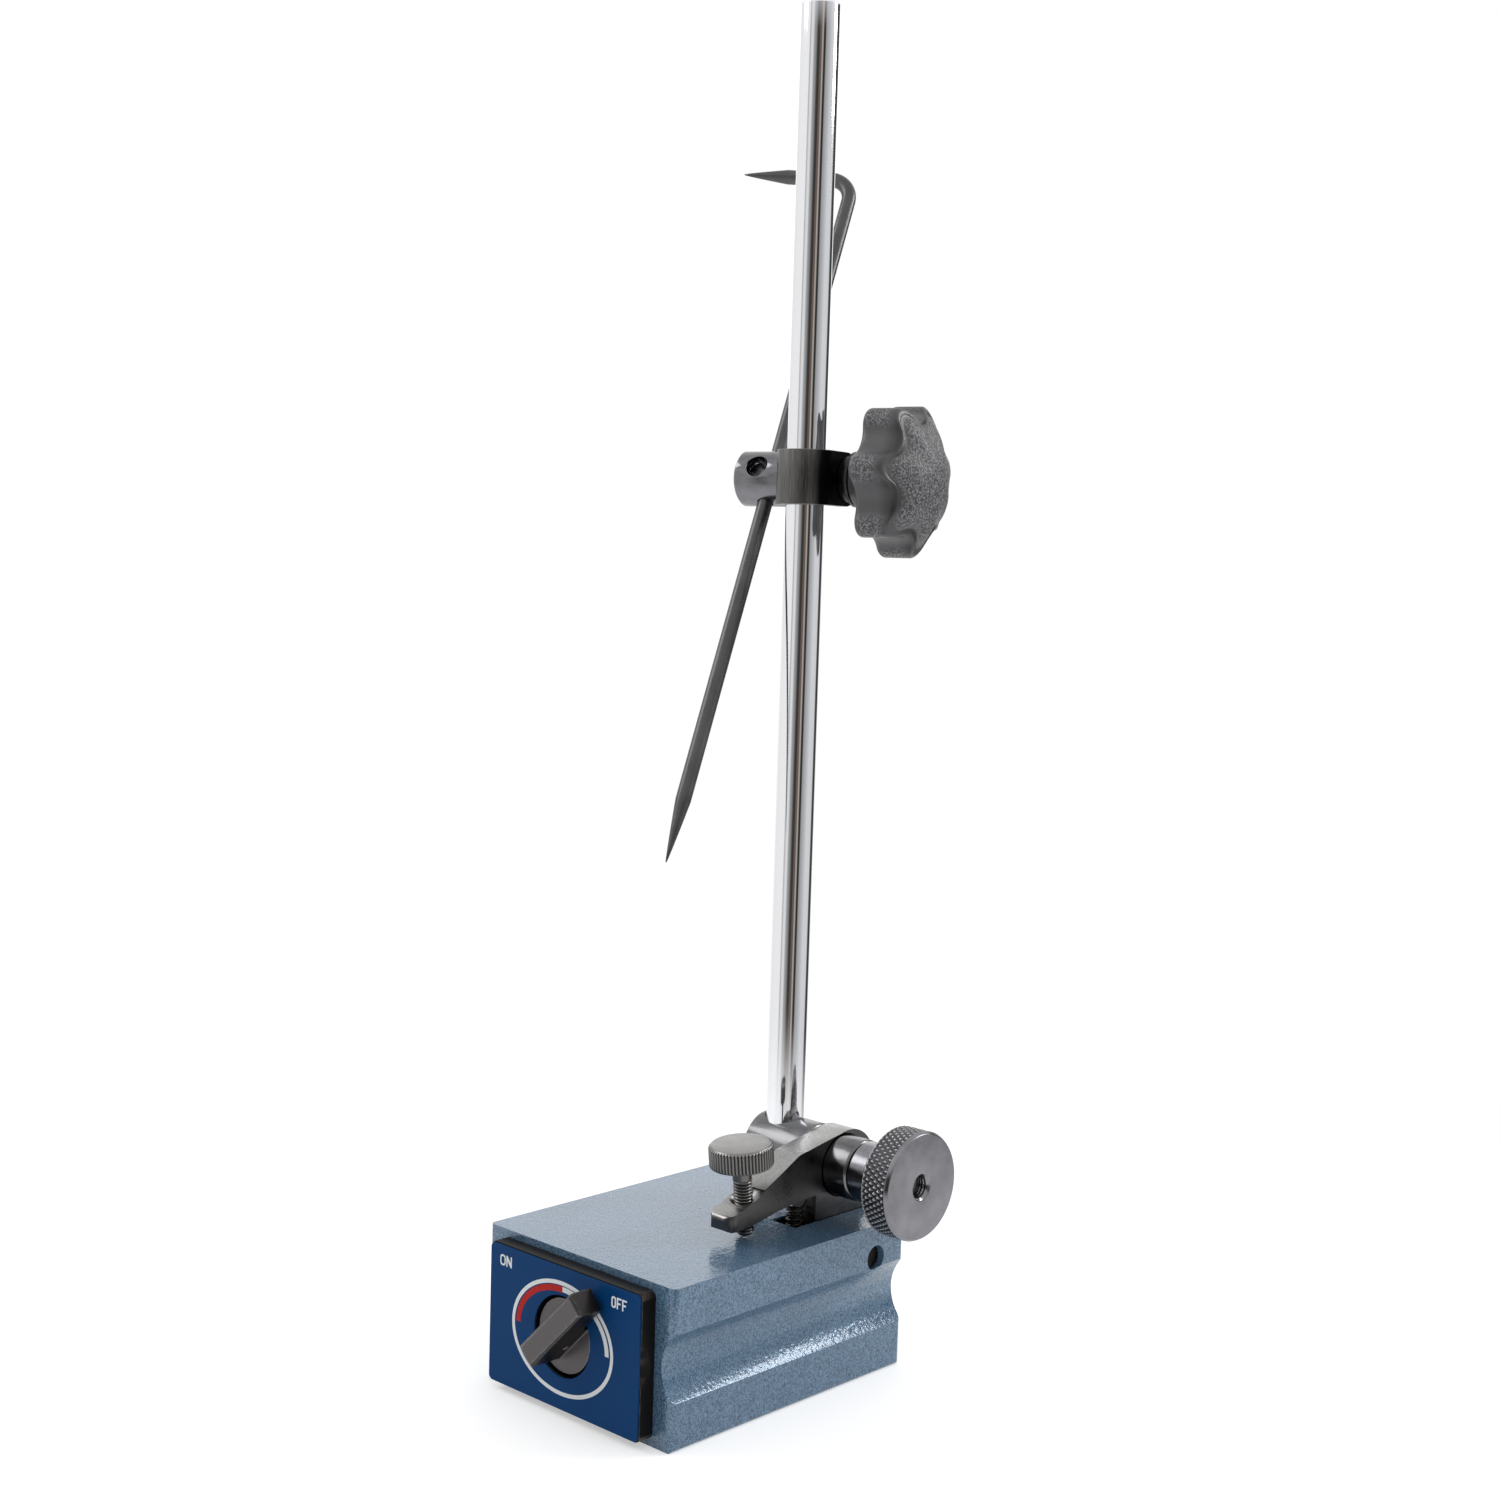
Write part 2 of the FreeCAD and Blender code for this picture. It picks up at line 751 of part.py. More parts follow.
def make_switch_lever():
    """A round hub with a bar across it, short at its tail and long where it points."""
    hub = rod("lever_hub", S.hub_radius, hub_back - hub_front)
    place(hub, ZERO, hub_back, rotor_height, ALONG_FRONT)
    rise = hub_front - lever_top
    lift = hub_front - dial_front + S.lever_lift
    root_end = S.hub_radius - S.lever_edge
    bar = plate("lever_bar", "XZ_Plane", [
        (-S.lever_tail, ZERO),
        (root_end, ZERO),
        (root_end + S.lever_edge, lift),
        (S.lever_reach, lift),
        (S.lever_reach, rise - S.lever_edge),
        (S.lever_reach - S.lever_edge, rise),
        (-S.lever_tail + S.lever_edge, rise),
        (-S.lever_tail, rise - S.lever_edge),
    ], S.lever_width, True)
    half = S.lever_width / 2
    bevel = S.lever_edge
    section = plate("lever_section", "YZ_Plane", [
        (-half, ZERO),
        (half, ZERO),
        (half, rise - bevel),
        (half - bevel, rise),
        (-half + bevel, rise),
        (-half, rise - bevel),
    ], (S.lever_reach + S.overrun) * 2, True)
    bar = common("lever_bar_bevelled", bar, section)
    turn = Rotation(Vector(0, 1, 0), -S.lever_angle.number).multiply(ALONG_FRONT)
    place(bar, ZERO, hub_front, rotor_height, turn)
    hole = rod("lever_spigot_hole", S.spigot_radius, hub_back - hub_front + S.spigot_in_lever + S.overrun)
    place(hole, ZERO, hub_back + S.overrun, rotor_height, ALONG_FRONT)
    whole = fuse("lever_whole", hub, bar)
    return named(cut("lever_cut", whole, hole, cross_pin("lever_pin_hole")), "switch_lever")


# The rocker and what tilts it

def rocker_outline():
    """The rocker seen from +X, as (y, z) corners: arm, brow, eye, foot and arch."""
    eye_y = S.clamp_y + S.eye_back
    eye_z = clamp_z - S.eye_drop
    lean = S.eye_radius * sine(S.eye_blend_angle)
    rise = S.eye_radius * cosine(S.eye_blend_angle)
    foot_side = S.pivot_y - S.foot_radius
    return [
        (-S.tip_foot, top + S.tip_low),
        (-S.under_front, top + S.arch_low, S.arch_radius, -1),
        (S.arch_end, top + S.arch_high),
        (S.foot_front, top + S.arch_high),
        (S.foot_front, S.base_height - S.foot_radius),
        (foot_side, pivot_z, S.foot_radius, 1),
        (S.pivot_y, pivot_z - S.foot_radius, S.foot_radius, 1),
        (S.pivot_y + S.foot_radius, pivot_z),
        (S.foot_rear, top + S.foot_shoulder),
        (eye_y + S.eye_radius, eye_z, S.eye_radius, 1),
        (eye_y - lean, eye_z + rise),
        (S.brow_back, top + S.brow_high),
        (S.brow_mid, top + S.brow_rise),
        (S.brow_front, top + S.brow_low),
        (-S.tip_front + S.nose_radius, top + S.tip_high + S.nose_radius / 2, S.nose_radius, 1),
        (-S.tip_front, top + S.tip_high - S.nose_radius / 2),
    ]


def make_rocker():
    """A flat forging: its flank is milled back round the eye, and its tip is rounded in plan."""
    forging = plate("rocker_forging", "YZ_Plane", rocker_outline(), S.rocker_thickness)
    place(forging, rocker_left, ZERO, ZERO)
    far_y = S.foot_rear + S.eye_radius
    far_z = clamp_z + S.eye_radius * 2
    relief = plate("rocker_relief", "YZ_Plane", [
        (S.flank_front, top + S.flank_low),
        (S.flank_mid, top + S.flank_mid_low),
        (S.flank_rear, top + S.flank_rear_low),
        (far_y, top + S.flank_rear_low),
        (far_y, clamp_z),
        (S.flank_front, clamp_z),
    ], S.flank_depth + S.overrun)
    place(relief, flank, ZERO, ZERO)
    spot = rod("rocker_spot_face", S.collar_radius + S.face_gap, S.flank_depth + S.overrun)
    place(spot, flank, S.clamp_y, clamp_z, ALONG_X)
    length = S.rocker_thickness + S.overrun * 2
    start = rocker_left - S.overrun
    pivot = place(rod("rocker_pivot_hole", pin_hole_radius, length), start, S.pivot_y, pivot_z, ALONG_X)
    eye = place(rod("rocker_eye_hole", stud_hole_radius, length), start, S.clamp_y, clamp_z, ALONG_X)
    tapped = fine_axis(rod("rocker_screw_hole", S.fine_radius + S.running_gap, S.fine_head_top))
    plan = plate("rocker_plan", "XY_Plane", [
        (rocker_left - S.overrun, far_y),
        (rocker_left - S.overrun, -S.tip_front + S.tip_corner),
        (rocker_left, -S.tip_front + S.tip_corner, S.tip_corner, 1),
        (rocker_left + S.tip_corner, -S.tip_front),
        (rocker_right - S.tip_corner, -S.tip_front, S.tip_corner, 1),
        (rocker_right, -S.tip_front + S.tip_corner),
        (rocker_right + S.overrun, -S.tip_front + S.tip_corner),
        (rocker_right + S.overrun, far_y),
    ], far_z)
    rounded = common("rocker_rounded", forging, plan)
    mouth = cone("rocker_screw_mouth", S.fine_radius, S.fine_mouth_radius + S.overrun,
                 S.fine_mouth_radius + S.overrun - S.fine_radius)
    fine_axis(mouth, S.fine_mouth_height)
    return named(cut("rocker_cut", rounded, relief, spot, pivot, eye, tapped, mouth), "rocker")


def fine_axis(thing, along=ZERO):
    """Puts a thing on the fine screw's axis, at a distance along it from the screw's foot."""
    along = S.screw_foot_gap + along
    y = S.screw_foot_y - along * sine(S.screw_lean)
    z = S.base_height + along * cosine(S.screw_lean)
    return place(thing, S.rocker_across, y, z, Rotation(Vector(1, 0, 0), S.screw_lean.number))


def make_fine_screw():
    """The fine adjusting screw: a domed foot, a shank and a knurled head."""
    under = S.fine_head_top - S.fine_head_height
    dome = S.fine_tip_dome
    tip = S.fine_tip_radius
    screw = turned("fine_screw", [
        (ZERO, ZERO, dome, 1),
        (tip, dome - root(dome * dome - tip * tip)),
        (S.fine_radius, S.fine_tip_length),
        (S.fine_radius, under),
        (S.fine_head_radius - S.fine_head_edge / 2, under),
        (S.fine_head_radius, under + S.fine_head_edge / 2),
        (S.fine_head_radius, S.fine_head_top - S.fine_head_edge),
        (S.fine_head_radius - S.fine_head_edge, S.fine_head_top),
        (ZERO, S.fine_head_top),
    ])
    return fine_axis(screw)


def arc_pair(start, start_way, end, end_way):
    """Two arcs that leave start and reach end along the given ways."""
    chord = end - start
    ways = start_way + end_way
    lead = 2 * (1 - start_way.dot(end_way))
    reach = (math.sqrt(chord.dot(ways) ** 2 + lead * chord.dot(chord)) - chord.dot(ways)) / lead
    middle = (start + end + (start_way - end_way) * reach) / 2
    return [tangent_arc(start, start_way, middle), tangent_arc(end, end_way * -1, middle)]


def tangent_arc(start, way, end):
    """The arc from start along a way to end, through its own middle."""
    chord = end - start
    across = chord - way * chord.dot(way)
    half = math.atan2(across.Length, chord.dot(way)) / 2
    across.normalize()
    length = chord.Length / (2 * math.cos(half))
    middle = start + (way * math.cos(half) + across * math.sin(half)) * length
    return Part.Arc(start, middle, end).toShape()


def least_gap(path, coil, wire):
    """The least space between two turns of a wound wire, measured on points along it."""
    count = int(path.Length / wire) * 2
    step = path.Length / count
    points = path.discretize(Number=count + 1)
    apart = int(math.pi * coil / step)
    gaps = []
    for index, point in enumerate(points):
        gaps += [point.distanceToPoint(other) for other in points[index + apart:]]
    return min(gaps) - wire


def make_rocker_spring():
    """A closely wound spring in the slot, one wire from end to end."""
    wire_radius = S.spring_wire.number / 2
    coil = S.spring_radius.number
    low = slot_floor.number
    high = spring_top.number
    tail = S.spring_wire.number
    first = low + tail
    last = high - tail
    lead = coil
    pitch = (last - first - 2 * lead) / SPRING_TURNS
    steps = SPRING_TURNS * STEPS_PER_TURN
    centre = Vector(S.rocker_across.number, S.spring_y.number, 0)
    slope = math.atan2(pitch, 2 * math.pi * coil)
    points = []
    ways = []
    for step in range(steps + 1):
        angle = 2 * math.pi * step / STEPS_PER_TURN
        out = Vector(math.cos(angle), math.sin(angle), 0)
        along = Vector(-math.sin(angle), math.cos(angle), 0)
        points.append(centre + out * coil + Vector(0, 0, first + lead + pitch * step / STEPS_PER_TURN))
        ways.append(along * math.cos(slope) + Vector(0, 0, math.sin(slope)))
    up = Vector(0, 0, 1)
    foot = Vector(centre.x + coil, centre.y - coil, low)
    end = Vector(centre.x + coil, centre.y + coil, high)
    edges = [Part.LineSegment(foot, foot + up * tail).toShape()]
    edges += arc_pair(foot + up * tail, up, points[0], ways[0])
    for index in range(steps):
        edges += arc_pair(points[index], ways[index], points[index + 1], ways[index + 1])
    edges += arc_pair(points[-1], ways[-1], end - up * tail, up)
    edges.append(Part.LineSegment(end - up * tail, end).toShape())
    path = Part.Wire(Part.__sortEdges__(edges))
    section = Part.Wire(Part.Circle(foot, up, wire_radius).toShape())
    print("rocker_spring's least gap to itself: %.2f mm" % least_gap(path, coil, 2 * wire_radius))
    spring = doc.addObject("Part::Feature", "rocker_spring")
    spring.Shape = path.makePipeShell([section], True, False)
    return spring


# The spindle's clamp

def cross_hole(name, chamfer, outer_radius):
    """A spindle hole straight through a sleeve on the clamp axis, broken at both mouths."""
    length = (outer_radius + S.overrun) * 2
    hole = rod(name + "_hole", spindle_hole_radius, length)
    place(hole, ZERO, S.clamp_y, clamp_z - length / 2)
    depth = S.overrun + chamfer
    mouths = [cone(name + "_mouth_top", spindle_hole_radius, spindle_hole_radius + depth, depth),
              cone(name + "_mouth_low", spindle_hole_radius + depth, spindle_hole_radius, depth)]
    place(mouths[0], ZERO, S.clamp_y, clamp_z + outer_radius - chamfer)
    place(mouths[1], ZERO, S.clamp_y, clamp_z - outer_radius - S.overrun)
    return [hole] + mouths


def make_spindle_sleeve():
    """The sleeve that the spindle passes through, closed towards the rocker."""
    length = sleeve_right + S.sleeve_left
    bore = S.stud_head_radius + S.running_gap
    wall = S.sleeve_left + S.sleeve_wall_end
    sleeve = turned("spindle_sleeve_blank", [
        (bore, ZERO),
        (S.sleeve_radius - S.sleeve_edge, ZERO),
        (S.sleeve_radius, S.sleeve_edge),
        (S.sleeve_radius, length - S.sleeve_edge),
        (S.sleeve_radius - S.sleeve_edge, length),
        (stud_hole_radius, length),
        (stud_hole_radius, wall),
        (bore, wall),
    ])
    place(sleeve, -S.sleeve_left, S.clamp_y, clamp_z, ALONG_X)
    holes = cross_hole("sleeve", S.lip_chamfer, S.sleeve_radius)
    return named(cut("spindle_sleeve_cut", sleeve, *holes), "spindle_sleeve")


def make_draw_stud():
    """The stud whose head pulls the spindle against the sleeve when the knob is tightened."""
    head = S.stud_head_left + S.stud_head_right
    stud = turned("draw_stud_blank", [
        (ZERO, ZERO),
        (S.stud_head_radius - S.sleeve_edge, ZERO),
        (S.stud_head_radius, S.sleeve_edge),
        (S.stud_head_radius, head),
        (S.stud_radius, head),
        (S.stud_radius, S.stud_head_left + S.stud_end),
        (ZERO, S.stud_head_left + S.stud_end),
    ])
    place(stud, -S.stud_head_left, S.clamp_y, clamp_z, ALONG_X)
    length = S.stud_head_radius + S.overrun
    hole = rod("stud_spindle_hole", spindle_hole_radius, length * 2)
    place(hole, ZERO, S.clamp_y, clamp_z - length)
    return named(cut("draw_stud_cut", stud, hole), "draw_stud")


def make_clamp_collar():
    start = flank + S.face_gap
    length = S.collar_end - start
    collar = turned("clamp_collar", [
        (stud_hole_radius, ZERO),
        (S.collar_radius - S.collar_edge, ZERO),
        (S.collar_radius, S.collar_edge),
        (S.collar_radius, length - S.collar_edge),
        (S.collar_radius - S.collar_edge, length),
        (stud_hole_radius, length),
    ])
    return place(collar, start, S.clamp_y, clamp_z, ALONG_X)


def make_clamp_knob():
    """The turned clamp knob: a hub, a chamfered grip and a dished face."""
    start = S.knob_start
    sink = S.knob_sink_radius - stud_hole_radius
    knob = turned("clamp_knob", [
        (stud_hole_radius, ZERO),
        (S.knob_hub_radius - S.collar_edge, ZERO),
        (S.knob_hub_radius, S.collar_edge),
        (S.knob_hub_radius, S.knob_hub_end - start),
        (S.knob_back_radius, S.knob_hub_end - start),
        (S.knob_grip_radius, S.knob_grip_start - start),
        (S.knob_grip_radius, S.knob_grip_end - start),
        (S.knob_face_radius, S.knob_face - start),
        (S.knob_sink_radius, S.knob_face - start),
        (stud_hole_radius, S.knob_face - start - sink),
    ])
    return place(knob, start, S.clamp_y, clamp_z, ALONG_X)


def make_spindle():
    spindle = turned("spindle", [
        (ZERO, ZERO),
        (S.spindle_radius - S.spindle_chamfer, ZERO),
        (S.spindle_radius, S.spindle_chamfer),
        (S.spindle_radius, S.spindle_length - S.spindle_chamfer),
        (S.spindle_radius - S.spindle_chamfer, S.spindle_length),
        (ZERO, S.spindle_length),
    ])
    return place(spindle, ZERO, S.clamp_y, spindle_bottom)


# The scriber's clamp. Its own frame has X along the stud and Y behind the spindle.

HOLDER_TURN = Rotation(Vector(0, 0, 1), S.holder_turn.number)


def place_in_holder(thing, across, back, up, turn=UPRIGHT):
    """Places a thing by its distances along the stud, behind the spindle's axis and up."""
    x = across * cosine(S.holder_turn) - back * sine(S.holder_turn)
    y = S.clamp_y + across * sine(S.holder_turn) + back * cosine(S.holder_turn)
    return place(thing, x, y, holder_z + up, HOLDER_TURN.multiply(turn))


def make_strap():
    """A strap bent round the spindle, its two legs running back past the stud."""
    end = S.holder_stud_back
    inner = spindle_hole_radius
    outer = strap_outer
    blank = plate("strap_bend", "XY_Plane", [
        (-outer, ZERO, outer, 1),
        (ZERO, -outer, outer, 1),
        (outer, ZERO),
        (outer, end + S.strap_half_height),
        (inner, end + S.strap_half_height),
        (inner, ZERO, inner, -1),
        (ZERO, -inner, inner, -1),
        (-inner, ZERO),
        (-inner, end + S.strap_half_height),
        (-outer, end + S.strap_half_height),
    ], S.strap_half_height * 2, True)
    half = S.strap_half_height
    side = plate("strap_side", "YZ_Plane", [
        (-outer - S.overrun, -half),
        (end, -half, half, 1),
        (end + half, ZERO, half, 1),
        (end, half),
        (-outer - S.overrun, half),
    ], (outer + S.overrun) * 2, True)
    hole = rod("strap_stud_hole", stud_hole_in_holder, (outer + S.overrun) * 2)
    place(hole, -outer - S.overrun, end, ZERO, ALONG_X)
    shaped = common("strap_shaped", blank, side)
    strap = cut("strap_cut", shaped, hole)
    return named(place_in_holder(strap, ZERO, ZERO, ZERO), "strap")


def ring(name, outer_radius, length, start):
    """A plain ring on the holder's stud, from a distance along it."""
    edge = S.collar_edge / 2
    thing = turned(name, [
        (stud_hole_in_holder, ZERO),
        (outer_radius - edge, ZERO),
        (outer_radius, edge),
        (outer_radius, length - edge),
        (outer_radius - edge, length),
        (stud_hole_in_holder, length),
    ])
    return place_in_holder(thing, start, S.holder_stud_back, ZERO, ALONG_X)


def make_knob_spacer():
    return ring("knob_spacer", S.spacer_radius, S.spacer_length, strap_outer)


def make_knob_washer():
    return ring("knob_washer", S.washer_radius, S.washer_length, strap_outer + S.spacer_length)


def scriber_drills(name, outer_radius, chamfer):
    """The scriber's hole and a second, wider one square to it, through a round head."""
    lean = Rotation(Vector(1, 0, 0), -S.scriber_lean.number)
    square = Rotation(Vector(1, 0, 0), QUARTER_TURN - S.scriber_lean.number)
    reach = outer_radius + S.overrun
    tools = []
    for label, radius, across, turn, angle in (
            ("scriber", scriber_hole_radius, S.scriber_across, lean, S.scriber_lean),
            ("spare", S.spare_hole_radius, S.spare_across, square, S.scriber_lean - QUARTER_TURN)):
        hole = rod("%s_%s_hole" % (name, label), radius, reach * 2)
        back = S.holder_stud_back - reach * sine(angle)
        tools.append(place_in_holder(hole, -across, back, -reach * cosine(angle), turn))
        if chamfer is None:
            continue
        depth = chamfer + S.overrun
        for end, first, last in ((1, radius, radius + depth), (-1, radius + depth, radius)):
            mouth = cone("%s_%s_mouth_%d" % (name, label, end + 1), first, last, depth)
            start = (outer_radius - chamfer) if end == 1 else (-outer_radius - S.overrun)
            back = S.holder_stud_back + start * sine(angle)
            tools.append(place_in_holder(mouth, -across, back, start * cosine(angle), turn))
    return tools


def make_scriber_sleeve():
    """The sleeve that grips the scriber, closed towards the strap and cross-drilled twice."""
    head = turned("scriber_sleeve_blank", [
        (S.head_bore_radius, ZERO),
        (S.head_radius - S.head_edge, ZERO),
        (S.head_radius, S.head_edge),
        (S.head_radius, S.head_length - S.head_edge),
        (S.head_radius - S.head_edge, S.head_length),
        (stud_hole_in_holder, S.head_length),
        (stud_hole_in_holder, S.head_length - S.head_wall),
        (S.head_bore_radius, S.head_length - S.head_wall),
    ])
    place_in_holder(head, head_left, S.holder_stud_back, ZERO, ALONG_X)
    drills = scriber_drills("sleeve_drill", S.head_radius, S.spare_hole_chamfer)
    return named(cut("scriber_sleeve_cut", head, *drills), "scriber_sleeve")


def make_scriber_stud():
    """The stud through the strap: its drilled head draws the scriber into the sleeve."""
    start = head_left + S.holder_stud_inset
    head = head_right - S.head_wall - S.holder_stud_inset - start
    radius = S.head_bore_radius - S.running_gap
    stud = turned("scriber_stud_blank", [
        (ZERO, ZERO),
        (radius - S.head_edge, ZERO),
        (radius, S.head_edge),
        (radius, head),
        (S.holder_stud_radius, head),
        (S.holder_stud_radius, S.holder_stud_end - start),
        (ZERO, S.holder_stud_end - start),
    ])
    place_in_holder(stud, start, S.holder_stud_back, ZERO, ALONG_X)
    drills = scriber_drills("stud_drill", S.head_bore_radius, None)
    return named(cut("scriber_stud_cut", stud, *drills), "scriber_stud")


def star_outline():
    """Round lobes with round valleys between them, each arc running smoothly into the next."""
    lobe = S.star_lobe
    out = S.star_radius - lobe
    half = size(HALF_TURN / LOBES)
    slope = cosine(half)
    low = S.star_valley
    spare = lobe * lobe - out * out - low * low + out * low * slope * 2
    valley = spare / ((low - out * slope - lobe) * 2)
    share = lobe / (lobe + valley)
    along = out + ((low + valley) * slope - out) * share
    aside = (low + valley) * sine(half) * share
    corners = []
    for index in range(LOBES):
        way = size(FULL_TURN / LOBES * index)
        ahead = (cosine(way), sine(way))
        for side, radius in ((1, lobe), (-1, valley)):
            x = along * ahead[0] + aside * ahead[1] * side
            y = along * ahead[1] - aside * ahead[0] * side
            corners.append((x, y, radius, side))
    return corners


def make_star_knob():
    """The star knob: a domed grip with seven round lobes, on a plain hub."""
    edge = S.star_hub_length + S.star_edge
    dome = S.star_hub_length + S.star_dome
    depth = S.star_dome - S.star_edge
    dome_radius = (S.star_radius * S.star_radius + depth * depth) / (depth * 2)
    blank = turned("star_knob_blank", [
        (ZERO, S.insert_length),
        (S.insert_radius, S.insert_length),
        (S.insert_radius, ZERO),
        (S.star_hub_radius, ZERO),
        (S.star_hub_radius, S.star_hub_length),
        (S.star_radius - S.star_round, S.star_hub_length),
        (S.star_radius, S.star_hub_length + S.star_round),
        (S.star_radius, edge, dome_radius, 1),
        (ZERO, dome),
    ])
    grip = plate("star_knob_grip", "XY_Plane", star_outline(), dome)
    whole = common("star_knob_shape", blank, grip)
    turn = ALONG_X.multiply(Rotation(Vector(0, 0, 1), S.star_turn.number))
    return named(place_in_holder(whole, star_start, S.holder_stud_back, ZERO, turn), "star_knob")


def make_star_knob_insert():
    """The threaded metal bush moulded into the star knob."""
    bush = turned("star_knob_insert", [
        (stud_hole_in_holder, ZERO),
        (S.insert_radius, ZERO),
        (S.insert_radius, S.insert_length - S.end_gap),
        (stud_hole_in_holder, S.insert_length - S.end_gap),
    ])
    return place_in_holder(bush, star_start, S.holder_stud_back, ZERO, ALONG_X)


def make_scriber():
    """The scriber: one ground rod with a long straight point and a bent one."""
    radius = S.scriber_radius
    straight = S.scriber_above - S.scriber_bend
    arm = S.scriber_arm - S.scriber_bend - S.scriber_arm_point
    body = doc.addObject("PartDesign::Body", "scriber")
    path = sketch_in(body, "XZ_Plane", "scriber_path")
    draw(path, [
        (ZERO, -S.scriber_below + S.scriber_point),
        (ZERO, straight, S.scriber_bend, 1),
        (-S.scriber_bend, S.scriber_above),
        (-S.scriber_bend - arm, S.scriber_above),
    ], closed=False)
    section = sketch_in(body, "XY_Plane", "scriber_section")
    draw_circle(section, ZERO, ZERO, radius)
    bind(section, **{"AttachmentOffset.Base.z": -S.scriber_below + S.scriber_point})
    pipe = body.newObject("PartDesign::AdditivePipe", "scriber_wire")
    pipe.Profile = section
    pipe.Spine = path
    doc.recompute()
    long_point = point_of("scriber_long_point", S.scriber_point)
    place(long_point, ZERO, ZERO, -S.scriber_below + S.scriber_point, Rotation(Vector(1, 0, 0), HALF_TURN))
    short_point = point_of("scriber_short_point", S.scriber_arm_point)
    back = Rotation(Vector(0, 1, 0), -QUARTER_TURN)
    place(short_point, -S.scriber_bend - arm, ZERO, S.scriber_above, back)
    whole = fuse("scriber_whole", body, long_point, short_point)
    lean = Rotation(Vector(1, 0, 0), -S.scriber_lean.number)
    spin = Rotation(Vector(0, 0, 1), S.scriber_arm_turn.number)
    place_in_holder(whole, -S.scriber_across, S.holder_stud_back, ZERO, lean.multiply(spin))
    body.Label = "scriber_rod"
    return named(whole, "scriber")


def point_of(name, length):
    return cone(name, S.scriber_radius, S.scriber_point_radius, length)


SUB_PARTS = [
    make_pole_left, make_pole_right, make_pole_separator, make_pivot_pin, make_front_plate,
    make_plate_screws, make_dial_label, make_rotor_magnet, make_rotor_shoes, make_rotor_spigot,
    make_stop_pin, make_lever_pin, make_switch_lever, make_rocker, make_fine_screw,
    make_rocker_spring, make_spindle_sleeve, make_draw_stud, make_clamp_collar, make_clamp_knob,
    make_spindle, make_strap, make_knob_spacer, make_knob_washer, make_scriber_sleeve,
    make_scriber_stud, make_star_knob, make_star_knob_insert, make_scriber,
]


def check(thing):
    """Stops the build at a failed feature or a shape that isn't sound."""
    if "Invalid" in thing.State or "Error" in thing.State:
        raise ValueError("%s failed: %s" % (thing.Label, thing.State))


def main():
    finished = [make() for make in SUB_PARTS]
    doc.recompute()
    for thing in doc.Objects:
        check(thing)
    for part in finished:
        if part.Shape.isNull() or not part.Shape.isValid():
            raise ValueError("%s has no sound shape" % part.Label)
    os.makedirs("parts", exist_ok=True)
    for part in finished:
        part.Shape.exportStep("parts/%s.step" % part.Label)
        print("%-18s %d solids, %10.2f mm3" % (part.Label, len(part.Shape.Solids), part.Shape.Volume))


main()
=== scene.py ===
import math

import bmesh
import bpy
import numpy as np
from bpy.props import FloatProperty, FloatVectorProperty, IntProperty, PointerProperty
from mathutils import Matrix, Vector


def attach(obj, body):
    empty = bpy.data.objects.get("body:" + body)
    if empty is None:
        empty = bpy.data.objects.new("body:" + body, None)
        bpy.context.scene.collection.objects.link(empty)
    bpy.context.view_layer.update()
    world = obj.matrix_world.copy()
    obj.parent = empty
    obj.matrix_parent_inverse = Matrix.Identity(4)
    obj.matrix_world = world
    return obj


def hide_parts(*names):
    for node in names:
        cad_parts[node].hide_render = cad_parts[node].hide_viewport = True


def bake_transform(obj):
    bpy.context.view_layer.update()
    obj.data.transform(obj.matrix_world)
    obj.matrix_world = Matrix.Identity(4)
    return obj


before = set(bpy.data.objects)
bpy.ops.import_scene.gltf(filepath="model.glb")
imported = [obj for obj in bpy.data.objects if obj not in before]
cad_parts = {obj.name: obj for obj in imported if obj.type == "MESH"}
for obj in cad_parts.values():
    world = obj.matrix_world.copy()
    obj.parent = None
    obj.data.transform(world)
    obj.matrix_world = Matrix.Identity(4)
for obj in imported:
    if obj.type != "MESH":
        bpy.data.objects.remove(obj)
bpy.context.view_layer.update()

bl_info = {
    "name": "Surface gauge",
    "version": (1, 0, 0),
    "blender": (4, 5, 0),
    "location": "View3D > Sidebar > Surface gauge",
    "description": "Dresses the packed surface gauge in its shapes and finishes",
    "category": "Object",
}

MM = 0.001
FULL_TURN = 2 * math.pi


def srgb(red, green, blue):
    """A colour as a screen shows it, 0 to 255, made linear."""
    parts = (value / 255 for value in (red, green, blue))
    return tuple(v / 12.92 if v <= 0.04045 else ((v + 0.055) / 1.055) ** 2.4 for v in parts)


def darker(tone, share):
    """A colour with each of its parts cut to a share."""
    return tuple(value * share for value in tone)


# Where the moving pieces stand, in millimetres
CLAMP_AXIS = (0.0, 31.0, 52.05)
HOLDER_TURN = math.radians(14.0)
HOLDER_HEIGHT = 228.3
HOLDER_STUD_BACK = 8.75
SCRIBER_ACROSS = -14.8
SCRIBER_LEAN = math.radians(26.5)
SCRIBER_ARM_TURN = math.radians(11.0)
COLLAR_START = 18.5
COLLAR_END = 28.1
KNOB_START = 28.4
STAR_START = 11.35
STAR_TURN = math.radians(5.9)
SCREW_FOOT = (16.5, -0.9, 39.2)
SCREW_LEAN = math.radians(6.3)
SCREW_FOOT_GAP = 0.25
SPINDLE_BOTTOM = 42.5
BASE_TOP = 39.2
SLOT_MIDDLE = 16.5
SLOT_HALF = 4.3
SLOT_FRONT = 13.15
SLOT_REAR = 41.0
DIAL_FRONT = -46.43


def colour_choice(name, description, default):
    """A colour in the panel."""
    return FloatVectorProperty(name=name, description=description, default=default, size=3,
                               min=0.0, max=1.0, subtype="COLOR")


def length_choice(name, description, millimetres):
    """A length in the panel, given in millimetres."""
    return FloatProperty(name=name, description=description, default=millimetres * MM,
                         min=0.0, precision=5, subtype="DISTANCE", unit="LENGTH")


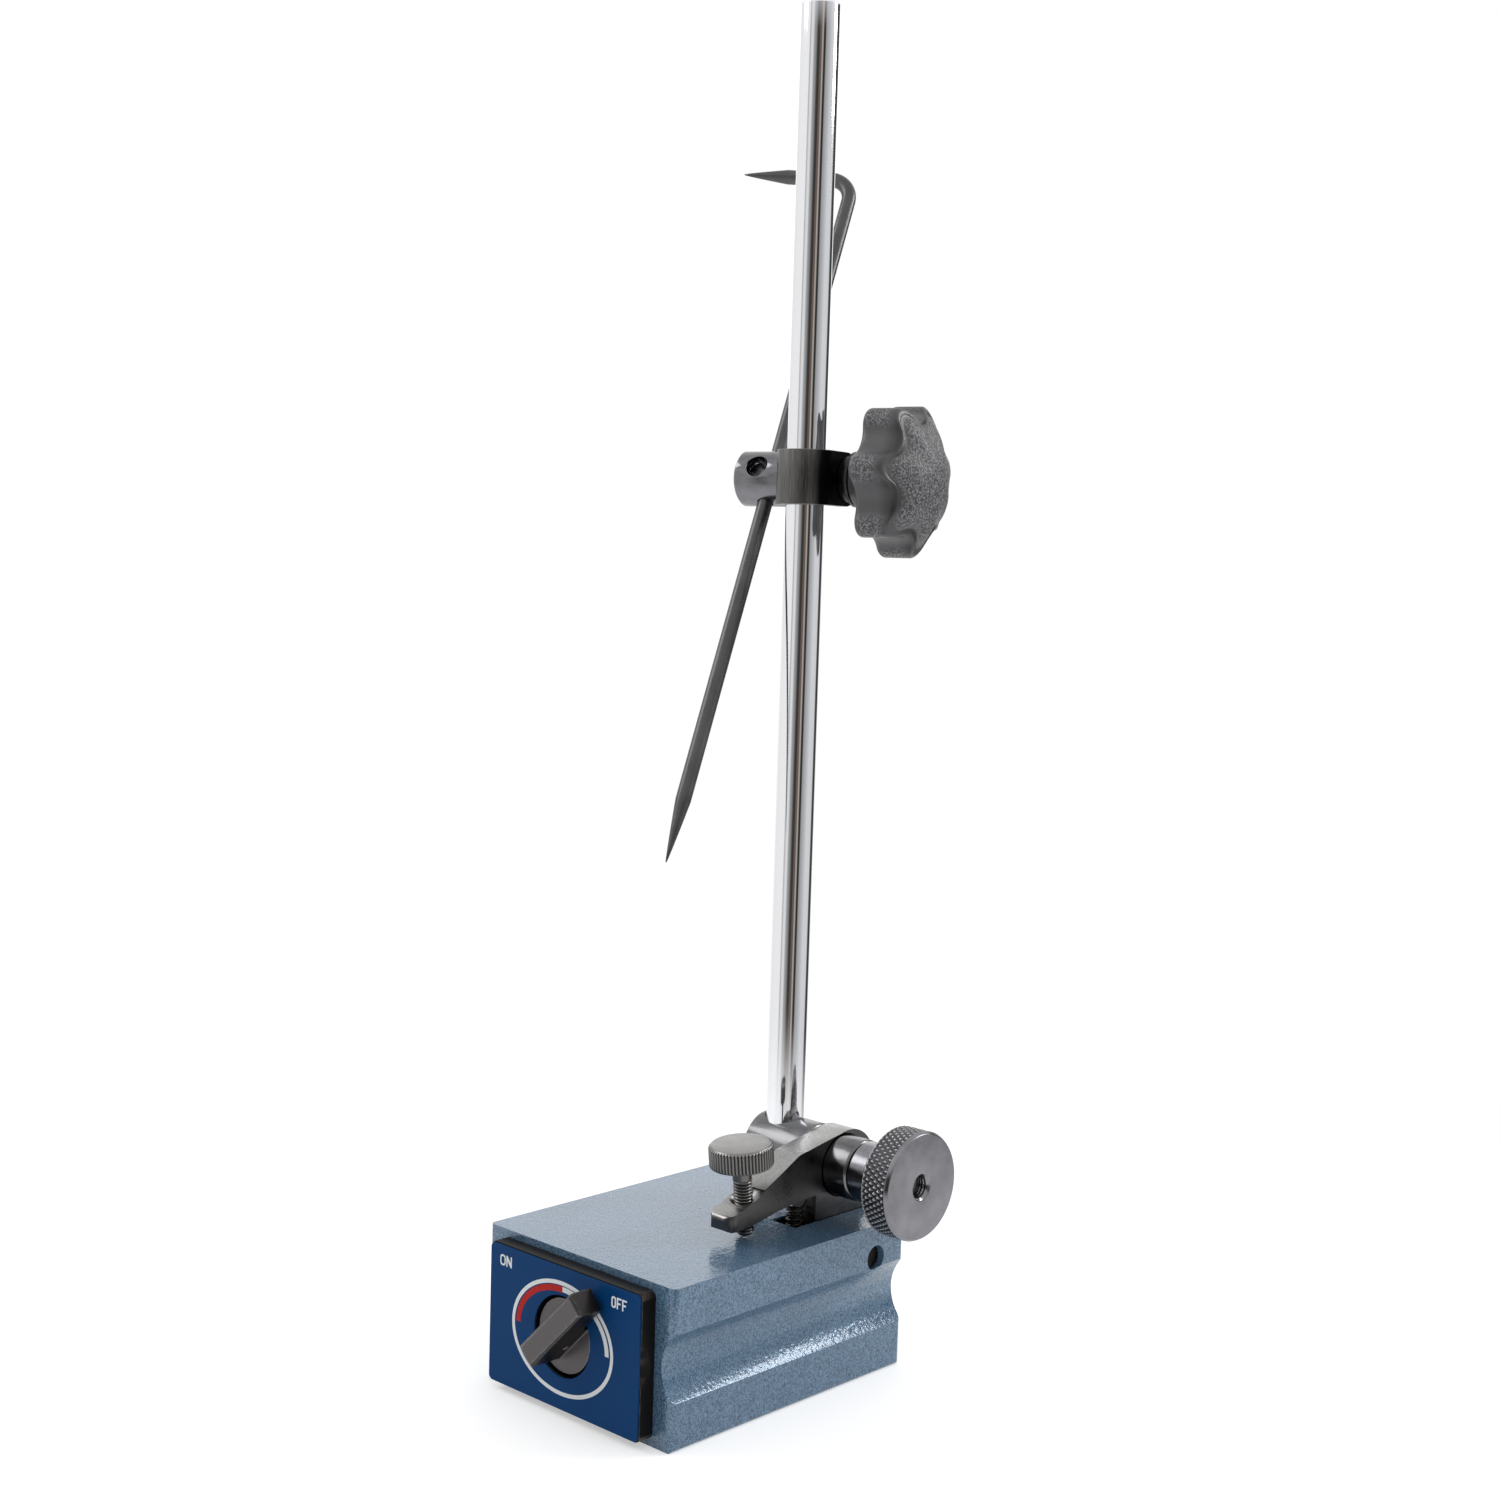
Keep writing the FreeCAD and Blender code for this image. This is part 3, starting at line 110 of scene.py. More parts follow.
def angle_choice(name, description, degrees):
    """An angle in the panel, given in degrees."""
    return FloatProperty(name=name, description=description, default=math.radians(degrees),
                         subtype="ANGLE", unit="ROTATION")


def power_choice(name, description, watts):
    """A lamp's power in the panel."""
    return FloatProperty(name=name, description=description, default=watts, min=0.0, unit="POWER")


def share_choice(name, description, share):
    """A strength in the panel."""
    return FloatProperty(name=name, description=description, default=share, min=0.0, max=1.0)


class StageSettings(bpy.types.PropertyGroup):
    """The camera, lamps and floor."""

    yaw: angle_choice("Yaw", "Camera's angle round the gauge from the dial's side", 43.17)
    pitch: angle_choice("Pitch", "Camera's angle above the level", 4.99)
    roll: angle_choice("Roll", "Camera's turn about its own line of sight", 1.74)
    place: FloatVectorProperty(name="Place", description="Where the camera stands", size=3,
                               default=(0.36308, -0.37392, 0.20497), subtype="TRANSLATION", unit="LENGTH")
    lens: FloatProperty(name="Lens", description="Focal length in millimetres", default=50.3, min=10.0)
    ambient: share_choice("Ambient", "Strength of the light from all round", 0.58)
    key: power_choice("Key lamp", "Power of the large lamp above the dial's left", 3.6)
    fill: power_choice("Fill lamp", "Power of the lamp on the knob's side", 0.7)
    rear: power_choice("Rear lamp", "Power of the lamp behind, which lights the groove", 3.2)
    screen: power_choice("Screen", "Power of the low screen that the base's top mirrors", 0.8)
    floor_radius: length_choice("Floor radius", "How far the pale floor reaches", 420.0)
    floor_white: share_choice("Floor white", "How much the floor shows the white studio", 0.42)


class PaintSettings(bpy.types.PropertyGroup):
    """The hammered paint of the magnetic base."""

    light: colour_choice("Light", "The paint's bright flecks", srgb(118, 149, 176))
    deep: colour_choice("Deep", "The paint between its flecks", srgb(40, 72, 100))
    peel: length_choice("Peel", "Distance between the paint's dimples", 1.05)
    peel_depth: length_choice("Peel depth", "Depth of the dimples", 0.15)
    edge: length_choice("Edge", "Rounding of the painted edges", 0.45)


class DialSettings(bpy.types.PropertyGroup):
    """The printed dial."""

    blue: colour_choice("Blue", "The dial's ground", srgb(0, 60, 112))
    white: colour_choice("White", "Ring, arc and words", srgb(236, 240, 242))
    red: colour_choice("Red", "The arc on the switch's way to ON", srgb(190, 42, 36))
    ring_across: length_choice("Ring across", "Half of the ring's width", 18.1)
    ring_up: length_choice("Ring up", "Half of the ring's height", 14.0)
    ring_line: length_choice("Ring line", "Width of the ring's line", 1.0)
    letter_height: length_choice("Letter height", "Height of the words", 2.75)


class GripSettings(bpy.types.PropertyGroup):
    """Knurls, threads and the star knob."""

    diamonds: IntProperty(name="Diamonds", description="Diamonds round the clamp knob", default=56, min=12)
    ridges: IntProperty(name="Ridges", description="Ridges round the fine screw's head", default=56, min=12)
    diamond_depth: length_choice("Diamond depth", "Depth of the clamp knob's knurl", 0.5)
    ridge_depth: length_choice("Ridge depth", "Depth of the fine screw's knurl", 0.32)
    thread_pitch: length_choice("Thread pitch", "Pitch of the fine screw", 0.8)
    lobes: IntProperty(name="Lobes", description="Lobes of the star knob", default=7, min=3)


class MetalSettings(bpy.types.PropertyGroup):
    """Steels, brass and the cast lever."""

    oxide: colour_choice("Oxide", "Blackened steel", srgb(88, 87, 87))
    chrome: colour_choice("Chrome", "The plated spindle", srgb(232, 233, 236))
    bright: colour_choice("Bright steel", "Ground and turned steel", srgb(190, 190, 188))
    brass: colour_choice("Brass", "Strip, spigot and insert", srgb(196, 160, 96))
    lever: colour_choice("Lever", "The cast switch lever", srgb(92, 88, 89))
    plastic: colour_choice("Plastic", "The star knob", srgb(86, 86, 88))


# Meshes: profiles, turned pieces and copies of CAD nodes

def eased(points, radius, steps=3):
    """A run of points with its inner corners rounded."""
    made = [points[0]]
    for before, corner, after in zip(points, points[1:], points[2:]):
        corner = Vector(corner)
        back = Vector(before) - corner
        on = Vector(after) - corner
        reach = min(radius, back.length * 0.45, on.length * 0.45)
        start = corner + back.normalized() * reach
        end = corner + on.normalized() * reach
        for step in range(steps + 1):
            share = step / steps
            point = start * (1 - share) ** 2 + corner * 2 * share * (1 - share) + end * share ** 2
            made.append(tuple(point))
    made.append(points[-1])
    return made


def spread(points, step, low=-1e9, high=1e9):
    """A profile with points at least every step along the part of it between two heights."""
    made = [points[0]]
    for start, end in zip(points, points[1:]):
        inside = max(start[1], end[1]) > low and min(start[1], end[1]) < high
        count = max(1, math.ceil(math.dist(start, end) / step)) if inside else 1
        for number in range(1, count + 1):
            share = number / count
            made.append(tuple(a + (b - a) * share for a, b in zip(start, end)))
    return made


def turned(name, profile, steps, place):
    """A mesh turned round its own Z from (radius, height) points in millimetres, put in its place."""
    closed = math.dist(profile[0], profile[-1]) < 1e-6
    rows = profile[:-1] if closed else profile
    run = np.cumsum([0.0] + [math.dist(a, b) for a, b in zip(rows, rows[1:])])
    points, marks, ring = [], [], []
    for (radius, height), along in zip(rows, run):
        count = steps if radius > 1e-6 else 1
        ring.append(range(len(points), len(points) + count))
        for step in range(count):
            angle = FULL_TURN * step / steps
            points.append((radius * math.cos(angle), radius * math.sin(angle), height))
            marks.append(along)
    faces = []
    pairs = list(zip(ring, ring[1:])) + ([(ring[-1], ring[0])] if closed else [])
    for low, high in pairs:
        for step in range(steps):
            nearby = (step + 1) % steps
            corners = [low[step % len(low)], low[nearby % len(low)],
                       high[nearby % len(high)], high[step % len(high)]]
            corners = list(dict.fromkeys(corners))
            if len(corners) > 2:
                faces.append(corners)
    mesh = bpy.data.meshes.new(name)
    mesh.from_pydata([Vector(p) * MM for p in points], [], faces)
    store(mesh, "turned", np.array(marks, np.float32) * MM)
    mesh.transform(place)
    return outward(mesh)


def store(mesh, name, values):
    """Stores one number for each point of a mesh."""
    mark = mesh.attributes.new(name, "FLOAT", "POINT")
    mark.data.foreach_set("value", np.asarray(values, np.float32))


def rows_of(vectors, name):
    """The places or normals of a mesh as rows of three."""
    values = np.empty(len(vectors) * 3, np.float32)
    vectors.foreach_get(name, values)
    return values.reshape(-1, 3)


def outward(mesh):
    """Turns every face of a closed mesh outwards."""
    work = bmesh.new()
    work.from_mesh(mesh)
    bmesh.ops.recalc_face_normals(work, faces=work.faces)
    work.to_mesh(mesh)
    work.free()
    mesh.update()
    return mesh


def settled(mesh, *changes):
    """A mesh after modifiers, each given as its kind and its settings."""
    thing = bpy.data.objects.new("bench", mesh)
    bpy.context.scene.collection.objects.link(thing)
    for kind, settings in changes:
        modifier = thing.modifiers.new(kind.lower(), kind)
        for key, value in settings.items():
            if kind == "NODES" and key != "node_group":
                key = modifier.node_group.interface.items_tree[key].identifier
                modifier[key] = value
            else:
                setattr(modifier, key, value)
    bpy.context.view_layer.update()
    graph = bpy.context.evaluated_depsgraph_get()
    made = bpy.data.meshes.new_from_object(thing.evaluated_get(graph), preserve_all_data_layers=True,
                                           depsgraph=graph)
    bpy.data.objects.remove(thing)
    bpy.data.meshes.remove(mesh)
    return made


def cad_copy(node):
    """A welded copy of a CAD node, without its material."""
    work = bmesh.new()
    work.from_mesh(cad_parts[node].data)
    bmesh.ops.remove_doubles(work, verts=work.verts, dist=1e-6)
    mesh = bpy.data.meshes.new("copy")
    work.to_mesh(mesh)
    work.free()
    mesh.materials.clear()
    return mesh


FLAT_ANGLE = math.radians(0.6)
SHARP_ANGLE = math.radians(32)


def eased_copy(node, width):
    """A copy of a CAD node with its sharp edges rounded."""
    mesh = cad_copy(node)
    work = bmesh.new()
    work.from_mesh(mesh)
    bmesh.ops.dissolve_limit(work, angle_limit=FLAT_ANGLE, verts=work.verts, edges=work.edges)
    work.to_mesh(mesh)
    work.free()
    return settled(mesh, ("BEVEL", {
        "width": width, "segments": 3, "limit_method": "ANGLE", "angle_limit": SHARP_ANGLE,
        "harden_normals": True, "miter_outer": "MITER_ARC"}))


def cast_copy(node, voxel):
    """A copy of a CAD node with the soft edges of a casting."""
    return settled(cad_copy(node),
                   ("REMESH", {"mode": "VOXEL", "voxel_size": voxel, "adaptivity": 0.0}),
                   ("SMOOTH", {"factor": 0.5, "iterations": 3}))


def mark_painted_light_faces(mesh, above=0.0, way=(0, 0, 1), least=0.35, most=0.65):
    """Stores how far each point above a height faces one way: the mask by which materials paint light on
    those faces, or shade on the others.
    """
    normals = rows_of(mesh.vertex_normals, "vector")
    facing = np.clip((normals @ np.array(way) - least) / (most - least), 0, 1)
    store(mesh, "upper", facing * (rows_of(mesh.vertices, "co")[:, 2] > above))
    return mesh


WIDE_FACE = 1.5 * MM * MM


def mark_edges(mesh, gain):
    """Stores how far each point stands out, so that wear can follow the edges and not the wide faces."""
    points, normals = rows_of(mesh.vertices, "co"), rows_of(mesh.vertex_normals, "vector")
    ends = np.empty(len(mesh.edges) * 2, np.int32)
    mesh.edges.foreach_get("vertices", ends)
    first, last = ends.reshape(-1, 2).T
    way = points[last] - points[first]
    way /= np.maximum(np.linalg.norm(way, axis=1, keepdims=True), 1e-9)
    total, number = np.zeros(len(points)), np.zeros(len(points))
    for here, sign in ((first, -1), (last, 1)):
        np.add.at(total, here, sign * (normals[here] * way).sum(1))
        np.add.at(number, here, 1)
    worn = np.clip(total / np.maximum(number, 1) * gain, 0, 1)
    for face in mesh.polygons:
        if face.area > WIDE_FACE:
            worn[list(face.vertices)] = 0
    store(mesh, "edge", worn)
    return mesh


def show(name, mesh, body, material, slot, *stands_for, smooth=True):
    """Puts a finished mesh in the scene on its body, if it has one, for the nodes it stands for."""
    piece = bpy.data.objects.new(name, mesh)
    mesh.name = name
    bpy.context.scene.collection.objects.link(piece)
    if not mesh.materials:
        mesh.materials.append(material)
    if smooth:
        mesh.shade_smooth()
    if body:
        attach(piece, body)
    if stands_for:
        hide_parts(*stands_for)
    return piece


def finish_nodes(material, *nodes):
    """Gives CAD nodes their finish."""
    for node in nodes:
        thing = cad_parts[node]
        if not thing.material_slots:
            thing.data.materials.append(material)
        for holder in thing.material_slots:
            holder.material = material


def at(x, y, z):
    """A move by some millimetres."""
    return Matrix.Translation(Vector((x, y, z)) * MM)


def clamp_place(along):
    """A place on the spindle clamp's axis, with Z along it."""
    x, y, z = CLAMP_AXIS
    return at(x + along, y, z) @ Matrix.Rotation(math.pi / 2, 4, "Y")


def screw_place():
    """The fine screw's place: Z up its leaning axis, from its foot."""
    x, y, z = SCREW_FOOT
    y -= SCREW_FOOT_GAP * math.sin(SCREW_LEAN)
    z += SCREW_FOOT_GAP * math.cos(SCREW_LEAN)
    return at(x, y, z) @ Matrix.Rotation(SCREW_LEAN, 4, "X")


def holder_place(across, back, *turns):
    """A place in the scriber clamp's frame: X along its stud, Y behind the spindle."""
    spindle = at(0, CLAMP_AXIS[1], HOLDER_HEIGHT)
    place = spindle @ Matrix.Rotation(HOLDER_TURN, 4, "Z") @ at(across, back, 0)
    for angle, axis in turns:
        place = place @ Matrix.Rotation(angle, 4, axis)
    return place


# Node trees

class Desk:
    """Adds nodes to one tree and wires them."""

    def __init__(self, tree):
        self.tree = tree

    def add(self, kind, inputs=None, **settings):
        """A new node, with its inputs fed and its options set."""
        node = self.tree.nodes.new(kind)
        for key, value in settings.items():
            setattr(node, key, value)
        for key, value in (inputs or {}).items():
            self.feed(node.inputs[key], value)
        return node

    def feed(self, socket, value):
        """Gives an input a value or a link."""
        if isinstance(value, bpy.types.NodeSocket):
            self.tree.links.new(value, socket)
        elif socket.type == "RGBA" and len(value) == 3:
            socket.default_value = (*value, 1.0)
        else:
            socket.default_value = value

    def maths(self, operation, *values):
        """One step of arithmetic."""
        node = self.add("ShaderNodeMath", dict(enumerate(values)), operation=operation)
        return node.outputs[0]

    def ramp(self, factor, low, high, start=0.0, end=1.0, kind="LINEAR"):
        """A value taken from one range to another."""
        node = self.add("ShaderNodeMapRange", {"Value": factor, "From Min": low, "From Max": high,
                                               "To Min": start, "To Max": end}, interpolation_type=kind)
        return node.outputs["Result"]

    def mix(self, factor, first, second):
        """A blend of two colours."""
        node = self.add("ShaderNodeMix", data_type="RGBA")
        self.feed(node.inputs[0], factor)
        self.feed(node.inputs[6], first)
        self.feed(node.inputs[7], second)
        return node.outputs[2]

    def noise(self, vector, scale, detail=2.0, rough=0.5):
        """A noise pattern at a place."""
        node = self.add("ShaderNodeTexNoise", {"Vector": vector, "Scale": scale, "Detail": detail,
                                               "Roughness": rough})
        return node.outputs["Fac"]

    def product(self, first, *others):
        """Several values multiplied."""
        for other in others:
            first = self.maths("MULTIPLY", first, other)
        return first

    def bump(self, height, distance, strength):
        """A normal from a height."""
        node = self.add("ShaderNodeBump", {"Strength": strength, "Distance": distance, "Height": height})
        return node.outputs[0]

    def mark(self, name):
        """A number that the mesh stores for each point."""
        return self.add("ShaderNodeAttribute", attribute_name=name).outputs["Fac"]

    def place(self):
        """The place on the piece, in its own frame."""
        return self.add("ShaderNodeTexCoord").outputs["Object"]

    def dress(self, geometry, given, out):
        """Ends a geometry tree: real geometry in the given material."""
        real = self.add("GeometryNodeRealizeInstances", {0: geometry}).outputs[0]
        dressed = self.add("GeometryNodeSetMaterial", {"Geometry": real, "Material": given["Material"]})
        self.feed(out[0], dressed.outputs[0])


def new_tree(name, kind, inputs, outputs):
    """An empty node tree with its sockets, its desk and its two end nodes."""
    tree = bpy.data.node_groups.new(name, kind)
    for direction, sockets in (("INPUT", inputs), ("OUTPUT", outputs)):
        for label, socket_type in sockets:
            tree.interface.new_socket(name=label, in_out=direction, socket_type=socket_type)
    given = tree.nodes.new("NodeGroupInput").outputs
    return tree, Desk(tree), given, tree.nodes.new("NodeGroupOutput").inputs


def grooves_tree():
    """Geometry nodes that cut helical grooves into a turned mesh: knurls and threads."""
    sizes = ("Count", "Slant", "Depth", "Start", "End", "Fade", "Least radius", "Most radius", "Crossed",
             "Land")
    tree, desk, given, out = new_tree("Grooves", "GeometryNodeTree", [
        ("Geometry", "NodeSocketGeometry"), *((size, "NodeSocketFloat") for size in sizes),
        ("Material", "NodeSocketMaterial")], [("Geometry", "NodeSocketGeometry")])
    place = desk.add("GeometryNodeInputPosition").outputs[0]
    apart = desk.add("ShaderNodeSeparateXYZ", {0: place}).outputs
    angle = desk.maths("DIVIDE", desk.maths("ARCTAN2", apart[1], apart[0]), FULL_TURN)
    flat = desk.add("ShaderNodeCombineXYZ", {0: apart[0], 1: apart[1], 2: 0.0}).outputs[0]
    radius = desk.add("ShaderNodeVectorMath", {0: flat}, operation="LENGTH").outputs["Value"]
    outward_way = desk.add("ShaderNodeVectorMath", {0: flat}, operation="NORMALIZE").outputs[0]
    starts = desk.maths("MULTIPLY", angle, given["Count"])
    climb = desk.maths("MULTIPLY", apart[2], given["Slant"])
    heights = []
    for operation in ("ADD", "SUBTRACT"):
        turn = desk.maths(operation, starts, climb)
        wave = desk.maths("MULTIPLY", desk.maths("PINGPONG", turn, 0.5), 2.0)
        heights.append(wave)
    single = desk.maths("SUBTRACT", 1.0, given["Crossed"])
    second = desk.maths("MAXIMUM", heights[1], single)
    height = desk.maths("MINIMUM", heights[0], second)
    height = desk.maths("MINIMUM", desk.maths("MULTIPLY", height, given["Land"]), 1.0)
    rise = desk.ramp(apart[2], given["Start"], desk.maths("ADD", given["Start"], given["Fade"]))
    fall = desk.ramp(apart[2], desk.maths("SUBTRACT", given["End"], given["Fade"]), given["End"], 1.0, 0.0)
    wide = desk.maths("GREATER_THAN", radius, given["Least radius"])
    narrow = desk.maths("LESS_THAN", radius, given["Most radius"])
    mask = desk.product(rise, fall, desk.product(wide, narrow))
    cut = desk.maths("MULTIPLY", desk.maths("SUBTRACT", 1.0, height), mask)
    before = desk.add("GeometryNodeInputNamedAttribute", {"Name": "cut"},
                      data_type="FLOAT").outputs["Attribute"]
    kept = desk.add("GeometryNodeStoreNamedAttribute", {
        "Geometry": given["Geometry"], "Name": "cut", "Value": desk.maths("MAXIMUM", before, cut)},
        data_type="FLOAT", domain="POINT").outputs[0]
    inward = desk.product(cut, given["Depth"], -1.0)
    shift = desk.add("ShaderNodeVectorMath", {0: outward_way, "Scale": inward}, operation="SCALE").outputs[0]
    moved = desk.add("GeometryNodeSetPosition", {"Geometry": kept, "Offset": shift}).outputs[0]
    desk.dress(moved, given, out)
    return tree


def wire_tree():
    """Geometry nodes that sweep a round wire along a line of points."""
    tree, desk, given, out = new_tree("Wire", "GeometryNodeTree", [
        ("Geometry", "NodeSocketGeometry"), ("Radius", "NodeSocketFloat"), ("Sides", "NodeSocketInt"),
        ("Material", "NodeSocketMaterial")], [("Geometry", "NodeSocketGeometry")])
    line = desk.add("GeometryNodeMeshToCurve", {0: given["Geometry"]}).outputs[0]
    ring = desk.add("GeometryNodeCurvePrimitiveCircle",
                    {"Resolution": given["Sides"], "Radius": given["Radius"]}).outputs[0]
    swept = desk.add("GeometryNodeCurveToMesh", {"Curve": line, "Profile Curve": ring,
                                                 "Fill Caps": True}).outputs[0]
    desk.dress(swept, given, out)
    return tree


def grain_group():
    """Shader group: a fine even grain as a mask and a bumped normal."""
    tree, desk, given, out = new_tree("Fine grain", "ShaderNodeTree", [
        ("Size", "NodeSocketFloat"), ("Depth", "NodeSocketFloat"), ("Strength", "NodeSocketFloat"),
    ], [("Mask", "NodeSocketFloat"), ("Normal", "NodeSocketVector")])
    place = desk.place()
    scale = desk.maths("DIVIDE", 1.0, given["Size"])
    mask = desk.noise(place, scale, 3.0, 0.55)
    desk.feed(out["Mask"], mask)
    desk.feed(out["Normal"], desk.bump(mask, given["Depth"], given["Strength"]))
    return tree


def wear_group():
    """Shader group: worn edges, broken up by a noise."""
    tree, desk, given, out = new_tree("Edge wear", "ShaderNodeTree", [
        ("Amount", "NodeSocketFloat"), ("Size", "NodeSocketFloat"),
    ], [("Mask", "NodeSocketFloat")])
    edge = desk.mark("edge")
    place = desk.place()
    patches = desk.noise(place, desk.maths("DIVIDE", 1.0, given["Size"]), 3.0, 0.6)
    desk.feed(out["Mask"], desk.product(edge, desk.ramp(patches, 0.3, 0.7), given["Amount"]))
    return tree


def tool_marks_group():
    """Shader group: fine rings left by a lathe tool, along the mark that turned pieces carry."""
    tree, desk, given, out = new_tree("Tool marks", "ShaderNodeTree", [
        ("Pitch", "NodeSocketFloat"), ("Depth", "NodeSocketFloat"), ("Strength", "NodeSocketFloat"),
    ], [("Mask", "NodeSocketFloat"), ("Normal", "NodeSocketVector")])
    along = desk.mark("turned")
    steps = desk.maths("DIVIDE", along, given["Pitch"])
    place = desk.place()
    drift = desk.maths("MULTIPLY", desk.noise(place, 150.0, 1.0), 1.5)
    line = desk.add("ShaderNodeTexNoise", {"W": desk.maths("ADD", steps, drift), "Scale": 1.0, "Detail": 3.0},
                    noise_dimensions="1D").outputs["Fac"]
    desk.feed(out["Mask"], line)
    desk.feed(out["Normal"], desk.bump(line, given["Depth"], given["Strength"]))
    return tree


def shared(name, build):
    """A node tree by name, built at its first use."""
    return bpy.data.node_groups.get(name) or build()


def grooves(mesh, material, **sizes):
    """Cuts helical grooves into a turned mesh that still stands on its own axis."""
    settings = {"node_group": shared("Grooves", grooves_tree), "Material": material}
    settings.update({key.replace("_", " ").capitalize(): float(value) for key, value in sizes.items()})
    return settled(mesh, ("NODES", settings))


def new_material(name):
    """A node material with its desk and its Principled shader."""
    material = bpy.data.materials.new(name)
    material.use_nodes = True
    desk = Desk(material.node_tree)
    return material, desk, material.node_tree.nodes["Principled BSDF"].inputs


def group(desk, name, build, **inputs):
    """The outputs of a shader group, with its inputs set."""
    node = desk.add("ShaderNodeGroup", node_tree=shared(name, build))
    for key, value in inputs.items():
        desk.feed(node.inputs[key.capitalize()], value)
    return node.outputs


SOLE_SKIN = 0.05
STRIP_HALF = 2.0
# How far the painted shade inside the rocker's slot reaches
SLOT_CLEAR = 0.05
SLOT_TOP_GAP = 0.5
SLOT_DEEP = 16.0


def hammered_paint(settings, metals):
    """Blue-grey hammered paint with a metallic fleck, ground off at the sole, and painted shade inside the
    rocker's slot.
    """
    material, desk, skin = new_material("hammered_paint")
    place = desk.place()
    dimples = desk.noise(place, 1 / settings.peel, 1.5, 0.45)
    ripples = desk.noise(place, 2.6 / settings.peel, 1.0, 0.5)
    flecks = desk.noise(place, 2500.0, 2.0, 0.75)
    cloud = desk.noise(place, 60.0, 2.0)
    tone = desk.mix(desk.ramp(flecks, 0.4, 0.62), settings.deep, settings.light)
    tone = desk.mix(desk.ramp(dimples, 0.35, 0.65, 0.0, 0.2), tone, settings.light)
    tone = desk.mix(desk.ramp(cloud, 0.3, 0.7, 0.0, 0.12), tone, settings.deep)
    height = desk.maths("ADD", dimples, desk.maths("MULTIPLY", ripples, 0.35))
    apart = desk.add("ShaderNodeSeparateXYZ", {0: place}).outputs
    sole = desk.maths("LESS_THAN", apart[2], SOLE_SKIN * MM)
    strip = desk.product(sole, desk.maths("LESS_THAN", desk.maths("ABSOLUTE", apart[0]), STRIP_HALF * MM))
    # Painted shade: inside the rocker's slot the paint is painted near black.
    beside = desk.maths("ABSOLUTE", desk.maths("SUBTRACT", apart[0], SLOT_MIDDLE * MM))
    slot = desk.product(desk.maths("LESS_THAN", beside, (SLOT_HALF + SLOT_CLEAR) * MM),
                        desk.maths("LESS_THAN", apart[2], (BASE_TOP - SLOT_TOP_GAP) * MM),
                        desk.maths("GREATER_THAN", apart[2], (BASE_TOP - SLOT_DEEP) * MM),
                        desk.maths("GREATER_THAN", apart[1], SLOT_FRONT * MM),
                        desk.maths("LESS_THAN", apart[1], SLOT_REAR * MM))
    tone = desk.mix(slot, tone, srgb(20, 20, 21))
    tone = desk.mix(sole, tone, metals.bright)
    tone = desk.mix(strip, tone, metals.brass)
    desk.feed(skin["Base Color"], tone)
    desk.feed(skin["Metallic"], desk.maths("MAXIMUM", sole, desk.ramp(flecks, 0.4, 0.7, 0.0, 0.3)))
    desk.feed(skin["Roughness"], desk.ramp(flecks, 0.3, 0.7, 0.12, 0.2))
    skin["IOR"].default_value = 1.62
    desk.feed(skin["Normal"], desk.bump(height, settings.peel_depth, 0.8))
    return material


def black_steel(name, settings, tone, roughness, cast=0.0, painted_light_tone=None, crests=0.1):
    """Blackened steel: turned rings or a cast skin, worn edges, painted light on the faces marked as lit,
    bright crests that are partly wear and partly painted highlight, and painted shade in its cuts.
    """
    material, desk, skin = new_material(name)
    worn = group(desk, "Edge wear", wear_group, amount=0.8, size=1.2 * MM)["Mask"]
    grain = group(desk, "Fine grain", grain_group, size=(0.45 if cast else 0.16) * MM,
                  depth=(0.05 if cast else 0.006) * MM, strength=cast or 0.5)
    place = desk.place()
    cloud = desk.noise(place, 180.0, 3.0, 0.6)
    dark = darker(tone, 0.72)
    colour = desk.mix(desk.ramp(cloud, 0.3, 0.7), dark, tone)
    rings = None if cast else group(desk, "Tool marks", tool_marks_group, pitch=0.11 * MM, depth=0.004 * MM,
                                    strength=0.8)
    # Painted light: the faces marked as lit get a lighter tone.
    if painted_light_tone:
        upper = desk.mark("upper")
        marks = (rings or grain)["Mask"]
        pale = desk.mix(desk.ramp(marks, 0.3, 0.7), darker(painted_light_tone, 0.62), painted_light_tone)
        colour = desk.mix(upper, colour, pale)
    colour = desk.mix(worn, colour, settings.bright)
    cut = desk.mark("cut")
    # Crests of knurls and threads painted bright: partly wear, partly painted highlight.
    crest = desk.maths("MULTIPLY", desk.ramp(cut, 0.0, 0.05), desk.ramp(cut, 0.12, 0.45, crests, 0.0))
    colour = desk.mix(crest, colour, settings.bright)
    # Painted shade: the cuts of knurls and threads are darkened.
    colour = desk.mix(desk.ramp(cut, 0.1, 0.8, 0.0, 0.85), colour, darker(tone, 0.12))
    desk.feed(skin["Base Color"], colour)
    skin["Metallic"].default_value = 1.0
    desk.feed(skin["Roughness"], desk.ramp(cloud, 0.3, 0.7, roughness - 0.05, roughness + 0.07))
    desk.feed(skin["Normal"], (rings or grain)["Normal"])
    return material


def turned_metal(name, tone, roughness):
    """Bright turned or ground metal with fine rings."""
    material, desk, skin = new_material(name)
    rings = group(desk, "Tool marks", tool_marks_group, pitch=0.12 * MM, depth=0.004 * MM, strength=0.6)
    dark = darker(tone, 0.82)
    desk.feed(skin["Base Color"], desk.mix(rings["Mask"], dark, tone))
    skin["Metallic"].default_value = 1.0
    desk.feed(skin["Roughness"], desk.ramp(rings["Mask"], 0.3, 0.7, roughness - 0.04, roughness + 0.06))
    desk.feed(skin["Normal"], rings["Normal"])
    return material


